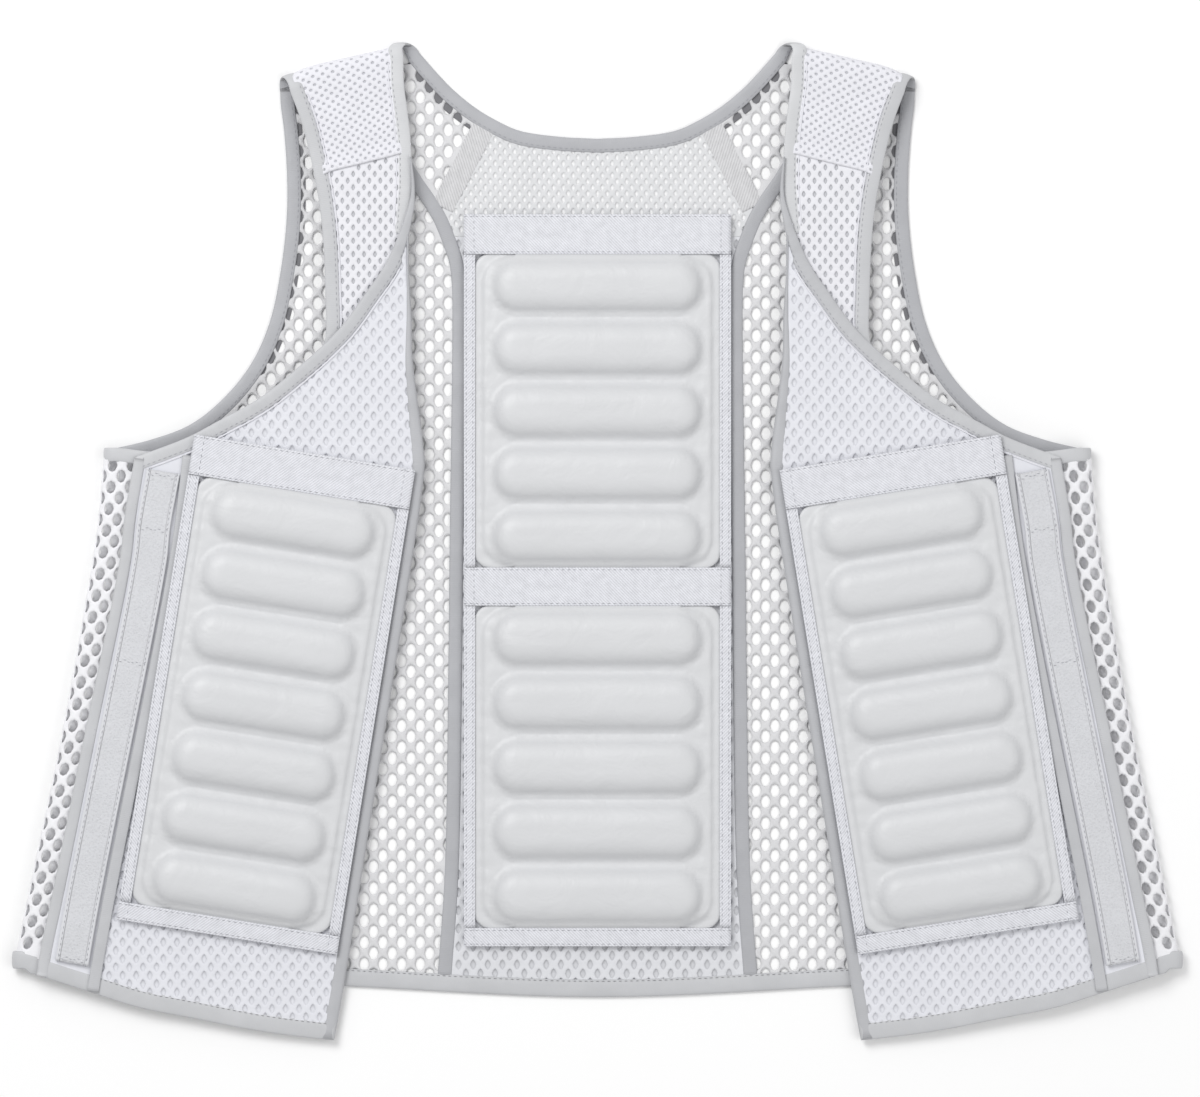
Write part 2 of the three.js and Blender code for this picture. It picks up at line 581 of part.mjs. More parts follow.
// Front panel and flap, right side
const frontPlane = (outline, lift) => solid(
  plate(outline, lift - CLOTH / 2, CLOTH).applyMatrix4(FRONT_SLOPE));
const frontPanel = trim(frontPlane([
  ...armholeFrontLine.slice(1), ...neckFrontLine, ...foldLine, ...frontHemLine.slice(1),
  ...[...sideLine].reverse().slice(1),
], 0), [armhole.cutter, neck.cutter, frontHem.cutter, fold.cutter, sideNetBlock, yokeBlock]);
const frontFlap = trim(
  frontPlane([...foldLine, ...flapHemLine.slice(1), ...[...flapEdgeLine].reverse().slice(1),
    ...[...flapNeckLine].reverse().slice(1)], FLAP_LIFT),
  [flapNeck.cutter, flapHem.cutter, flapEdge.cutter, fold.cutter]);

// Cooling pack, with its middle at the origin and its underside at height 0
function roundedRectangle(width, height, radius) {
  const shape = new THREE.Shape();
  const [x, y] = [width / 2 - radius, height / 2 - radius];
  shape.absarc(x, y, radius, 0, Math.PI / 2);
  shape.absarc(-x, y, radius, Math.PI / 2, Math.PI);
  shape.absarc(-x, -y, radius, Math.PI, 1.5 * Math.PI);
  shape.absarc(x, -y, radius, 1.5 * Math.PI, 2 * Math.PI);
  return shape.getPoints(3).slice(0, -1);
}

function pack({ width, height, bars }) {
  const packWidth = width + 2 * TAPE_LAP;
  const packHeight = height + 2 * TAPE_LAP;
  const pitch = height / bars;
  const barWidth = pitch - BAR_SPACE;
  const barLength = width - 2 * BAR_MARGIN;
  const rise = (PACK_HEIGHT - PACK_FLANGE / 2) / 2;
  const flange = solid(plate(roundedRectangle(packWidth, packHeight, PACK_CORNER), 0, PACK_FLANGE));
  const tray = solid(plate(
    roundedRectangle(width - 2 * TRAY_MARGIN, height - TRAY_MARGIN, PACK_CORNER), PACK_FLANGE / 2,
    PACK_TRAY - PACK_FLANGE / 2));
  const raised = Array.from({ length: bars }, (_, i) => solid(
    new THREE.CapsuleGeometry(barWidth / 2, barLength - barWidth, 2, BAR_SIDES)
      .rotateZ(Math.PI / 2).rotateX(Math.PI / BAR_SIDES)
      .scale(1, 1, 2 * rise / barWidth)
      .translate(0, (i - (bars - 1) / 2) * pitch, PACK_HEIGHT - rise)));
  return geometryOf([tray, ...raised].reduce((body, part) => body.add(part), flange));
}

// A flat length of tape with its underside at height 0
function band(width, height) {
  return new THREE.BoxGeometry(width, height, TAPE_THICKNESS).translate(0, 0, TAPE_THICKNESS / 2);
}

function mesh(name, geometry, finish) {
  const material = new THREE.MeshStandardMaterial(FINISHES[finish]);
  const piece = new THREE.Mesh(geometry, material);
  piece.name = name;
  return piece;
}

const pocketSize = ({ width, height, bars }) => ({
  width: width * HALF_WIDTH, height: height * LENGTH, bars,
});

// The pocket and pack of a flap, in the plane of the front layer
function flapPocket(side) {
  const group = new THREE.Group();
  const size = pocketSize(POCKETS.flap);
  const centre = spot(POCKETS.flap);
  group.position.set(centre.x, centre.y, ON_FLAP);
  group.rotation.z = THREE.MathUtils.degToRad(POCKETS.flap.turn);
  const lifted = PACK_FLANGE + GAP;
  const wide = size.width + 2 * SIDE_TAPE;
  const top = mesh(`flap_pocket_top_tape_${side}`, band(wide, TOP_TAPE), 'tape');
  top.position.set(0, (size.height + TOP_TAPE) / 2, lifted);
  const bottom = mesh(`flap_pocket_bottom_tape_${side}`, band(wide, BOTTOM_TAPE), 'tape');
  bottom.position.set(0, -(size.height + BOTTOM_TAPE) / 2, lifted);
  const sideTape = () => band(SIDE_TAPE, size.height - 2 * GAP);
  const inner = mesh(`flap_pocket_inner_tape_${side}`, sideTape(), 'tape');
  inner.position.set(-(size.width + SIDE_TAPE) / 2, 0, lifted);
  const outer = mesh(`flap_pocket_outer_tape_${side}`, sideTape(), 'tape');
  outer.position.set((size.width + SIDE_TAPE) / 2, 0, lifted);
  group.add(top, bottom, inner, outer, mesh(`front_pack_${side}`, pack(size), 'pack'));
  return group;
}

// The strips that lie on a flap: lengths of hook-and-loop strip with a gap at each joint
function hookStrips(side) {
  const line = smooth(HOOK_STRIP.map(spot));
  const station = (share, shift) => {
    const along = line.getTangentAt(share);
    const point = pointOn(line, share).addScaledVector(along, shift);
    const across = new THREE.Vector3(-along.y, along.x, 0);
    return { at: new THREE.Vector3(point.x, point.y, ON_FLAP + HOOK_THICKNESS / 2), across };
  };
  return HOOK_JOINTS.slice(1).map((end, i) => {
    const start = HOOK_JOINTS[i];
    const stations = Array.from({ length: 5 }, (_, k) => station(
      THREE.MathUtils.lerp(start, end, k / 4), k === 0 ? GAP / 2 : (k === 4 ? -GAP / 2 : 0)));
    const body = strip(fromMiddle(stations, HOOK_WIDTH), HOOK_WIDTH, HOOK_THICKNESS);
    return mesh(`hook_strip_${side}_${i + 1}`, geometryOf(body), 'hook');
  });
}

function flapSeamTape(side) {
  const stations = edgeStations(trace(FLAP_SEAM, 8), () => ON_FLAP + TAPE_THICKNESS / 2, 1);
  const body = strip(fromMiddle(stations, FRONT_BINDING_WIDTH), FRONT_BINDING_WIDTH, TAPE_THICKNESS);
  return mesh(`flap_seam_binding_${side}`, geometryOf(body), 'binding');
}

// One half of the vest, modelled as the right side
function half(side) {
  const group = new THREE.Group();
  group.scale.x = side === 'left' ? -1 : 1;
  const pieces = [
    ['back_net', netted(backNet, -TALL / 2), 'net'],
    ['yoke_net', netted(yokeNet, -TALL / 2), 'net'],
    ['yoke_band', trim(yokeBand.body, [backSeam.cutter, neck.cutter]), 'yoke'],
    ['back_seam_binding', trim(backSeam.body, [backHem.cutter, shoulderBlock]), 'binding'],
    ['side_net', sideNet, 'net'],
    ['shoulder_yoke', shoulderYoke, 'yoke'],
    ['front_panel', frontPanel, 'mesh'],
    ['front_flap', frontFlap, 'mesh'],
    ['armhole_binding', armhole.body, 'binding'],
    ['hem_binding_front', frontHem.body, 'binding'],
    ['flap_neck_binding', flapNeck.body, 'binding'],
    ['flap_edge_binding', trim(flapEdge.body, [flapNeck.cutter, flapHem.cutter]), 'binding'],
    ['flap_hem_binding', flapHem.body, 'binding'],
    ['flap_fold_binding',
      trim(fold.body, [flapNeck.cutter, neck.cutter, flapHem.cutter, frontHem.cutter]), 'binding'],
  ];
  pieces.forEach(([name, body, finish]) => group.add(mesh(`${name}_${side}`, geometryOf(body), finish)));
  const onFlapTop = new THREE.Group();
  onFlapTop.matrixAutoUpdate = false;
  onFlapTop.matrix.copy(FRONT_SLOPE);
  onFlapTop.add(...hookStrips(side), flapSeamTape(side), flapPocket(side));
  group.add(onFlapTop);
  return group;
}

// Back pockets and packs, on the back panel
function backPockets() {
  const group = new THREE.Group();
  group.position.z = ON_BACK;
  const upper = pocketSize(POCKETS.backUpper);
  const lower = pocketSize(POCKETS.backLower);
  const lifted = PACK_FLANGE + GAP;
  const wide = upper.width + 2 * SIDE_TAPE;
  const upperY = spot(POCKETS.backUpper).y;
  const middleY = upperY - (upper.height + MIDDLE_TAPE) / 2;
  const lowerY = middleY - (MIDDLE_TAPE + lower.height) / 2;
  const sideX = (upper.width + SIDE_TAPE) / 2;
  const upperSide = () => band(SIDE_TAPE, upper.height - 2 * GAP);
  const lowerSide = () => band(SIDE_TAPE, lower.height - 2 * GAP);
  const rows = [
    ['back_pocket_top_tape', band(wide, TOP_TAPE), 0, upperY + (upper.height + TOP_TAPE) / 2],
    ['back_pocket_middle_tape', band(wide, MIDDLE_TAPE), 0, middleY],
    ['back_pocket_bottom_tape', band(wide, BOTTOM_TAPE), 0, lowerY - (lower.height + BOTTOM_TAPE) / 2],
    ['back_pocket_upper_tape_left', upperSide(), -sideX, upperY],
    ['back_pocket_upper_tape_right', upperSide(), sideX, upperY],
    ['back_pocket_lower_tape_left', lowerSide(), -sideX, lowerY],
    ['back_pocket_lower_tape_right', lowerSide(), sideX, lowerY],
  ];
  rows.forEach(([name, geometry, x, y]) => {
    const piece = mesh(name, geometry, 'tape');
    piece.position.set(x, y, lifted);
    group.add(piece);
  });
  const packs = [['back_pack_upper', upper, upperY], ['back_pack_lower', lower, lowerY]];
  packs.forEach(([name, size, y]) => {
    const piece = mesh(name, pack(size), 'pack');
    piece.position.y = y;
    group.add(piece);
  });
  return group;
}

const vest = new THREE.Group();
vest.add(
  mesh('back_center_panel', geometryOf(centrePanel), 'mesh'),
  mesh('neck_binding', geometryOf(neck.body), 'binding'),
  mesh('hem_binding_back', geometryOf(backHem.body), 'binding'),
  backPockets(),
  half('left'),
  half('right'),
);

export default vest;
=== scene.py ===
"""Cooling vest of white mesh, laid open on its back: the cloth, tapes, bindings and gel packs.

Every piece is made in millimetres as the right side of the vest lies, seen from above: x is the distance
from the centre line, y runs towards the shoulders and z is the height above the floor. A left piece is the
mirror image. Places on the vest are rows of (across, up), as shares of its half width and its length.
"""

import math

import bmesh
import bpy
import numpy as np
from bpy.props import FloatProperty, FloatVectorProperty, PointerProperty
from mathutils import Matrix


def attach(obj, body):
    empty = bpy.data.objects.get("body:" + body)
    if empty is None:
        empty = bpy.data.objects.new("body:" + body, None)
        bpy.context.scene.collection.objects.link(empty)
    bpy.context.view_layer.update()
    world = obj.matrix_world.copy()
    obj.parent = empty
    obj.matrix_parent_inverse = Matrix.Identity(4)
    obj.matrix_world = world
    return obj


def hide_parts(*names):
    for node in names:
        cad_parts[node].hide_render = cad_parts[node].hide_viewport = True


bl_info = {
    "name": "Cooling vest",
    "version": (1, 0, 0),
    "blender": (4, 5, 0),
    "location": "3D View > Sidebar > Vest",
    "description": "Dresses the packed frame of a mesh cooling vest that lies open on its back",
    "category": "Add Mesh",
}

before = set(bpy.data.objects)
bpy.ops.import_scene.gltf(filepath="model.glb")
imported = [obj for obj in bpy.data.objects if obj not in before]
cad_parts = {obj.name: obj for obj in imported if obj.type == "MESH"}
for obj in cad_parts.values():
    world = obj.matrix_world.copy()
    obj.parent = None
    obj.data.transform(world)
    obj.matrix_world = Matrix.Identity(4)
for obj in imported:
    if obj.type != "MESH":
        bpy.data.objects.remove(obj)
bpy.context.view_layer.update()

MM = 0.001
SIDES = {"left": -1, "right": 1}

# Size of the vest as it lies, and its cloth, in millimetres
HALF_WIDTH = 350
LENGTH = 598
CLOTH = 1.4
TAPE_WALL = 0.3
BINDING_WIDTH = 8.4
FRONT_BINDING_WIDTH = 7
BAND_WIDTH = 14
GAP = 0.3
SIDE_ROLL = 7
SHOULDER_ROLL = 6
ROLL_SEAM = 10
SIDE_NET_WIDTH = 45
SHOULDER_HEIGHT = 10
SIDE_HEIGHT = 9
LAYER_CLEARANCE = 0.4

# Hook-and-loop strip, pocket tapes and packs
HOOK_WIDTH = 20
HOOK_THICKNESS = 1.8
TAPE_THICKNESS = 1
TOP_TAPE = 24
MIDDLE_TAPE = 23
BOTTOM_TAPE = 11
SIDE_TAPE = 6.8
TAPE_LAP = 2
PACK_FLANGE = 1.6
PACK_TRAY = 4
PACK_HEIGHT = 12
TRAY_MARGIN = 5
BAR_MARGIN = 9
BAR_SPACE = 3.5
PACK_CORNER = 15

# Flat ring welded round each bar of a pack: its width and its height over the tray
RING = 2.2
RING_HEIGHT = 1.5

# Rounding at the edge of a hole in the net, the mesh and the yoke, and the wider tape on the hems
NET_EDGE = 0.8
MESH_EDGE = 0.25
YOKE_EDGE = 0.3
HEM_WIDTH = 10.6

# How far a panel of the back, a strap and a flap end inside the outline of their bindings
BACK_INSET = 1.5
STRAP_INSET = 0.8
FLAP_INSET = 1.2

# Round cord of the cloth's folded edge, and the thin outer leg of a binding, drawn dark as painted shadow
# under the net
CORD = 1.0
OUTER_LEG = 0.12

# Sewing: how far across a binding and a hem the seam runs, as a share of the width, how far a seam lies
# from the edge of a hook-and-loop strip and of a pocket tape, and half the height of a zigzag
SEAM_SHARE = 0.8
HEM_SEAM_SHARE = 0.9
HOOK_SEAM = 1.6
TAPE_SEAM = 1.4
ZIGZAG = 1.3

# Distance between the points of a pack's film
FILM_STEP = 1.4

# Share of painted shade on a binding, drawn as its darker inner face that shows, where it is the same all
# along, and the least share where it fades on the raised front
SHADE_SHOWN = {"back_hem": 0.45, "front_hem": 0.4, "flap_edge": 0.45, "fold": 0.8, "flap_seam": 0.6}
LEAST_SHADE_SHOWN = {"neck": 0.12, "armhole": 0.42}

# How much the yoke's folded edge stands over the strap at their seam, and the strap's stretch under it
SEAM_LAP = 1.1
STRAP_TUCK = 5

# How much a tape stands over another that ends under it at a hem
OVER_HEM = 0.6

# How far the nets of the back run on under the binding of their seam
SEAM_TUCK = 3

# Heights that follow from the cloth
BINDING = CLOTH + 2 * TAPE_WALL
BACK_MIDDLE = BINDING / 2
FOLD_HEIGHT = BINDING + LAYER_CLEARANCE + BINDING / 2
FLAP_LIFT = BINDING + LAYER_CLEARANCE
ON_BACK = BINDING + GAP
ON_FLAP = FLAP_LIFT + BINDING / 2 + GAP

# Lines of the vest, right side, as rows of (across, up)
SIDE_EDGE = [(0.843, 0.594), (0.856, 0.512), (0.887, 0.401), (0.920, 0.296), (0.956, 0.196), (1.000, 0.072)]
ARMHOLE_BACK = [
    (0.544, 0.951), (0.543, 0.938), (0.537, 0.910), (0.532, 0.863), (0.533, 0.823), (0.543, 0.772),
    (0.562, 0.720), (0.594, 0.678), (0.644, 0.642), (0.699, 0.617), (0.767, 0.602),
]
ARMHOLE_FRONT = [
    (0.742, 0.590), (0.676, 0.599), (0.613, 0.617), (0.558, 0.637), (0.510, 0.658), (0.479, 0.678),
    (0.466, 0.704), (0.466, 0.752), (0.471, 0.812), (0.481, 0.855), (0.504, 0.915), (0.526, 0.951),
]
SHOULDER = [(0.531, 0.965), (0.500, 0.974), (0.431, 0.984), (0.364, 0.993), (0.326, 0.9985)]
YOKE_SEAM = [(0.486, 0.863), (0.319, 0.894)]
NECK_BACK = [
    (0.000, 0.904), (0.064, 0.906), (0.133, 0.912), (0.172, 0.922), (0.209, 0.935), (0.247, 0.953),
    (0.272, 0.968), (0.305, 0.990),
]
NECK_FRONT = [
    (0.332, 0.987), (0.331, 0.959), (0.325, 0.932), (0.320, 0.905), (0.318, 0.872), (0.320, 0.838),
    (0.324, 0.808),
]
FLAP_NECK = [
    (0.332, 0.821), (0.342, 0.805), (0.364, 0.777), (0.393, 0.752), (0.442, 0.713), (0.513, 0.674),
    (0.580, 0.643), (0.651, 0.620), (0.699, 0.605), (0.792, 0.584),
]
FLAP_EDGE = [
    (0.792, 0.584), (0.809, 0.524), (0.817, 0.482), (0.876, 0.311), (0.935, 0.141), (0.952, 0.094),
    (0.960, 0.066),
]
FLAP_HEM = [
    (0.451, 0.000), (0.500, 0.003), (0.586, 0.010), (0.699, 0.023), (0.784, 0.033), (0.870, 0.049),
    (0.960, 0.066),
]
FRONT_HEM = [
    (0.451, 0.002), (0.500, 0.005), (0.586, 0.012), (0.699, 0.025), (0.784, 0.035), (0.870, 0.051),
    (1.000, 0.072),
]
BACK_HEM = [(0.000, 0.043), (0.430, 0.054), (1.000, 0.072)]
BACK_SEAM = [
    (0.264, 0.050), (0.250, 0.169), (0.244, 0.369), (0.242, 0.482), (0.237, 0.722), (0.238, 0.758),
    (0.243, 0.782), (0.254, 0.801), (0.271, 0.825), (0.292, 0.845), (0.318, 0.867), (0.342, 0.893),
    (0.359, 0.933), (0.366, 0.980),
]
YOKE_BAND = [(0.191, 0.920), (0.266, 0.835)]
FLAP_SEAM = [(0.699, 0.586), (0.722, 0.482), (0.836, 0.141), (0.858, 0.068)]
SEAM_FOOT = [(0.863, 0.0495)]
HOOK_STRIP = [(0.742, 0.570), (0.759, 0.515), (0.765, 0.482), (0.880, 0.141), (0.899, 0.078)]
HOOK_JOINTS = [0, 0.118, 0.387, 1]

# Where the flap's neck binding starts behind the neck binding, as rows of (across, up, share of its width)
FLAP_NECK_START = [(0.3205, 0.885, 0.1), (0.3195, 0.847, 0.3), (0.332, 0.821, 0.6), (0.353, 0.788, 0.9)]

# The fold line, as rows of (across, up, share of the binding's width that shows)
FOLD_UPPER = [
    (0.323, 0.807, 0.15), (0.322, 0.764, 0.2), (0.318, 0.727, 0.4), (0.316, 0.682, 0.6),
    (0.300, 0.607, 0.95), (0.295, 0.577, 1),
]
FOLD_LOWER = [
    (0.295, 0.577, 1), (0.303, 0.537, 1), (0.317, 0.482, 1), (0.379, 0.255, 1), (0.442, 0.027, 1),
    (0.451, 0.000, 1),
]

# Pockets: middle and size of the opening as shares, turn in degrees, and bars of the pack
POCKETS = {
    "back_upper": {"middle": (0, 0.631), "size": (0.419, 0.314), "turn": 0, "bars": 5},
    "back_lower": {"middle": (0, 0.274), "size": (0.419, 0.323), "turn": 0, "bars": 5},
    "flap": {"middle": (0.570, 0.336), "size": (0.343, 0.433), "turn": 9.2, "bars": 7},
}


def length_property(name, description, default, low, high):
    """A length that a user can change between two limits, in metres."""
    return FloatProperty(name=name, description=description, default=default, min=low, max=high,
                         subtype="DISTANCE", unit="LENGTH")


def pair_property(name, description, default):
    """Two lengths that a user can change, across and up, in metres."""
    return FloatVectorProperty(name=name, description=description, default=default, size=2,
                               subtype="XYZ_LENGTH", unit="LENGTH")


class VestSizes(bpy.types.PropertyGroup):
    """Sizes of the cloth's pattern and of the sewing, in metres."""

    net_hole: pair_property("Net hole", "Width and height of a hole of the open net", (0.0054, 0.0076))
    net_pitch: pair_property("Net pitch", "Distance between the net's holes across, and between its rows",
                             (0.0112, 0.0065))
    mesh_hole: pair_property("Mesh hole", "Width and height of a hole of the diamond mesh", (0.0022, 0.0038))
    mesh_pitch: pair_property("Mesh pitch", "Distance between the mesh's holes across, and between its rows",
                              (0.0065, 0.0040))
    yoke_hole: length_property("Yoke hole", "Width of a hole of the yoke mesh", 0.0016, 0.0005, 0.004)
    yoke_pitch: length_property("Yoke pitch", "Distance between the yoke's holes", 0.005, 0.002, 0.01)
    stitch_length: length_property("Stitch length", "Length of a visible stitch", 0.0024, 0.001, 0.006)
    stitch_spacing: length_property("Stitch spacing", "Distance from stitch to stitch", 0.0034, 0.0015, 0.008)
    thread: length_property("Thread", "Thickness of the thread as it shows", 0.0005, 0.0002, 0.001)


def linear(code):
    """An sRGB hex colour as linear red, green and blue."""
    shares = (int(code[i:i + 2], 16) / 255 for i in (1, 3, 5))
    return tuple(c / 12.92 if c <= 0.04045 else ((c + 0.055) / 1.055) ** 2.4 for c in shares)


def colour_property(name, description, code):
    """A colour that a user can change, with its default as an sRGB hex value."""
    return FloatVectorProperty(name=name, description=description, default=linear(code), size=3, min=0,
                               max=1, subtype="COLOR")


class VestColours(bpy.types.PropertyGroup):
    """Colours of the cloth, tapes and packs."""

    net: colour_property("Side net", "Outer face of the open net, at the sides", "#f0f0f3")
    inner_net: colour_property("Inner net", "Inner face of the open net, on the back", "#dadadc")
    mesh: colour_property("Diamond mesh", "Outer face of the diamond mesh", "#e9e9ee")
    # Painted shade: the layer behind, darkened in the holes of the diamond mesh
    mesh_hole_shade: colour_property("Mesh holes", "What shows in the holes of the diamond mesh", "#c3c4c9")
    flap_mesh: colour_property("Flap mesh", "Inner face of the diamond mesh, on the flaps", "#e4e5eb")
    # Painted shade: the layer behind, a little darker in the holes of the flap's mesh
    flap_hollow: colour_property("Flap holes", "What shows in the holes of the flap's mesh", "#dfe0e6")
    back_mesh: colour_property("Back mesh", "Diamond mesh at the foot of the back", "#dfe0e4")
    # Painted shade: the layer behind, darkened in the holes of the back's mesh
    back_hole_shade: colour_property("Back holes", "What shows in the holes of the back's mesh", "#d0d1d5")
    back_yoke: colour_property("Back yoke", "Double mesh over the packs of the back", "#dcdddf")
    back_yoke_hollow: colour_property("Back yoke holes", "What shows in its holes", "#f2f2f3")
    yoke: colour_property("Yoke mesh", "Fine mesh over the shoulders", "#e7e7ed")
    # Painted shade: the layer behind, darkened in the holes of the yoke mesh
    yoke_hollow: colour_property("Yoke holes", "What shows in the holes of the yoke's mesh", "#c6c7cd")
    band: colour_property("Yoke band", "Diagonal band beside the neck", "#d8d8da")
    tape: colour_property("Pocket tape", "Woven tapes round the pockets", "#e7e8ee")
    binding: colour_property("Binding", "Outer face of the bindings", "#d2d3d5")
    # Painted shade: the darker colour bindings take where shade falls on them, given as their inner face
    binding_inner: colour_property("Binding, inside", "Inner face of the bindings", "#b0b1b5")
    hook: colour_property("Hook strip", "Pile of the hook-and-loop strip", "#d7d8dc")
    pack: colour_property("Gel pack", "Film of the cooling packs", "#d6d7d9")
    # Painted shadow: the dark colour of the bindings' outer leg, standing for the shade under the net beside
    # them
    outer_leg: colour_property("Binding, outside", "Outer leg of the bindings, under the net", "#707074")
    thread: colour_property("Thread", "Sewing thread", "#a3a4aa")
    hem_thread: colour_property("Hem thread", "Sewing thread of the hems", "#8a8a8d")


# Lines and heights

def spots(rows):
    """Rows of a table as points in millimetres. A third column stays as it is."""
    places = np.array(rows, dtype=float)
    places[:, 0] *= HALF_WIDTH
    places[:, 1] = (places[:, 1] - 0.5) * LENGTH
    return places


def smooth(points, count):
    """Points at even distances along a smooth line through the given ones."""
    path = np.array(points, dtype=float)
    path = np.vstack([2 * path[0] - path[1], path, 2 * path[-1] - path[-2]])
    share = np.linspace(0, 1, 16, endpoint=False)[:, None]
    fine = []
    for before, start, end, after in zip(path, path[1:], path[2:], path[3:]):
        lengths = [max(np.linalg.norm((b - a)[:2]) ** 0.5, 1e-3)
                   for a, b in ((before, start), (start, end), (end, after))]
        lead, span, trail = lengths
        out = (start - before) / lead - (end - before) / (lead + span) + (end - start) / span
        into = (end - start) / span - (after - start) / (span + trail) + (after - end) / trail
        fine.append((2 * share ** 3 - 3 * share ** 2 + 1) * start + (share ** 3 - 2 * share ** 2 + share)
                    * out * span + (3 * share ** 2 - 2 * share ** 3) * end
                    + (share ** 3 - share ** 2) * into * span)
    fine = np.vstack([*fine, path[-2]])
    return evenly(fine, count)


def evenly(line, count):
    """The same line with its points at even distances."""
    steps = np.linalg.norm(np.diff(line[:, :2], axis=0), axis=1)
    along = np.concatenate([[0], np.cumsum(steps)])
    places = np.linspace(0, along[-1], count)
    return np.column_stack([np.interp(places, along, column) for column in line.T])


def trace(rows, count, before=(), after=()):
    """A smooth line through the rows of a table and through points before and after them."""
    return smooth([*before, *spots(rows), *after], count)


def plane_through(corners, heights):
    """Slopes and base of the plane through three points of the plan."""
    rows = np.column_stack([corners, np.ones(3)])
    return np.linalg.solve(rows, np.array(heights))


FRONT_PLANE = plane_through(
    spots([SHOULDER[-1], SIDE_EDGE[-1], FOLD_LOWER[-1][:2]]), [SHOULDER_HEIGHT, SIDE_HEIGHT, FOLD_HEIGHT])


def front_height(x, y):
    """Height of the middle of the front layer."""
    return FRONT_PLANE[0] * x + FRONT_PLANE[1] * y + FRONT_PLANE[2]


def ripple(x, y, length, depth, phase=0.0):
    """Soft waves of cloth that lies loose: the length between crests, and the depth."""
    turn = 2 * math.pi / length
    return depth / 3 * (np.sin(turn * (x + 0.3 * y) + phase)
                        + np.sin(turn * (0.8 * y - 0.45 * x) + 2.1 * phase)
                        + np.sin(1.7 * turn * (0.2 * x - y) + 1.3 * phase))


# Outlines

def reach(points, outline):
    """How far inside the outline each point lies, and the place on the outline nearest to it."""
    start = outline
    step = np.roll(outline, -1, axis=0) - start
    square = np.maximum((step ** 2).sum(axis=1), 1e-9)
    inside = np.empty(len(points))
    nearest = np.empty((len(points), 2))
    for first in range(0, len(points), 4000):
        part = points[first:first + 4000]
        away = part[:, None] - start
        share = np.clip((away * step).sum(axis=2) / square, 0, 1)
        foot = start + share[..., None] * step
        gap = np.linalg.norm(part[:, None] - foot, axis=2)
        best = gap.argmin(axis=1)
        rows = np.arange(len(part))
        above = start[:, 1] > part[:, 1:2]
        crossing = above != np.roll(above, -1, axis=1)
        level = np.where(np.abs(step[:, 1]) < 1e-9, 1e-9, step[:, 1])
        crossed = part[:, :1] < start[:, 0] + (part[:, 1:2] - start[:, 1]) / level * step[:, 0]
        sign = np.where((crossing & crossed).sum(axis=1) % 2 == 1, 1, -1)
        inside[first:first + 4000] = sign * gap[rows, best]
        nearest[first:first + 4000] = foot[rows, best]
    return inside, nearest


def honeycomb(pitch, row):
    """The cell round one hole of staggered rows, anticlockwise, with its slanting edges halved."""
    shoulder = ((pitch ** 2 / 4 + row ** 2) / 2 - pitch ** 2 / 4) / row
    tip = (pitch ** 2 / 4 + row ** 2) / (2 * row)
    corners = np.array([(pitch / 2, -shoulder), (pitch / 2, shoulder), (0, tip), (-pitch / 2, shoulder),
                        (-pitch / 2, -shoulder), (0, -tip)])
    steps = [1, 2, 2, 1, 2, 2]
    ring = [corner + (after - corner) * i / count
            for corner, after, count in zip(corners, np.roll(corners, -1, axis=0), steps)
            for i in range(count)]
    return np.array(ring)


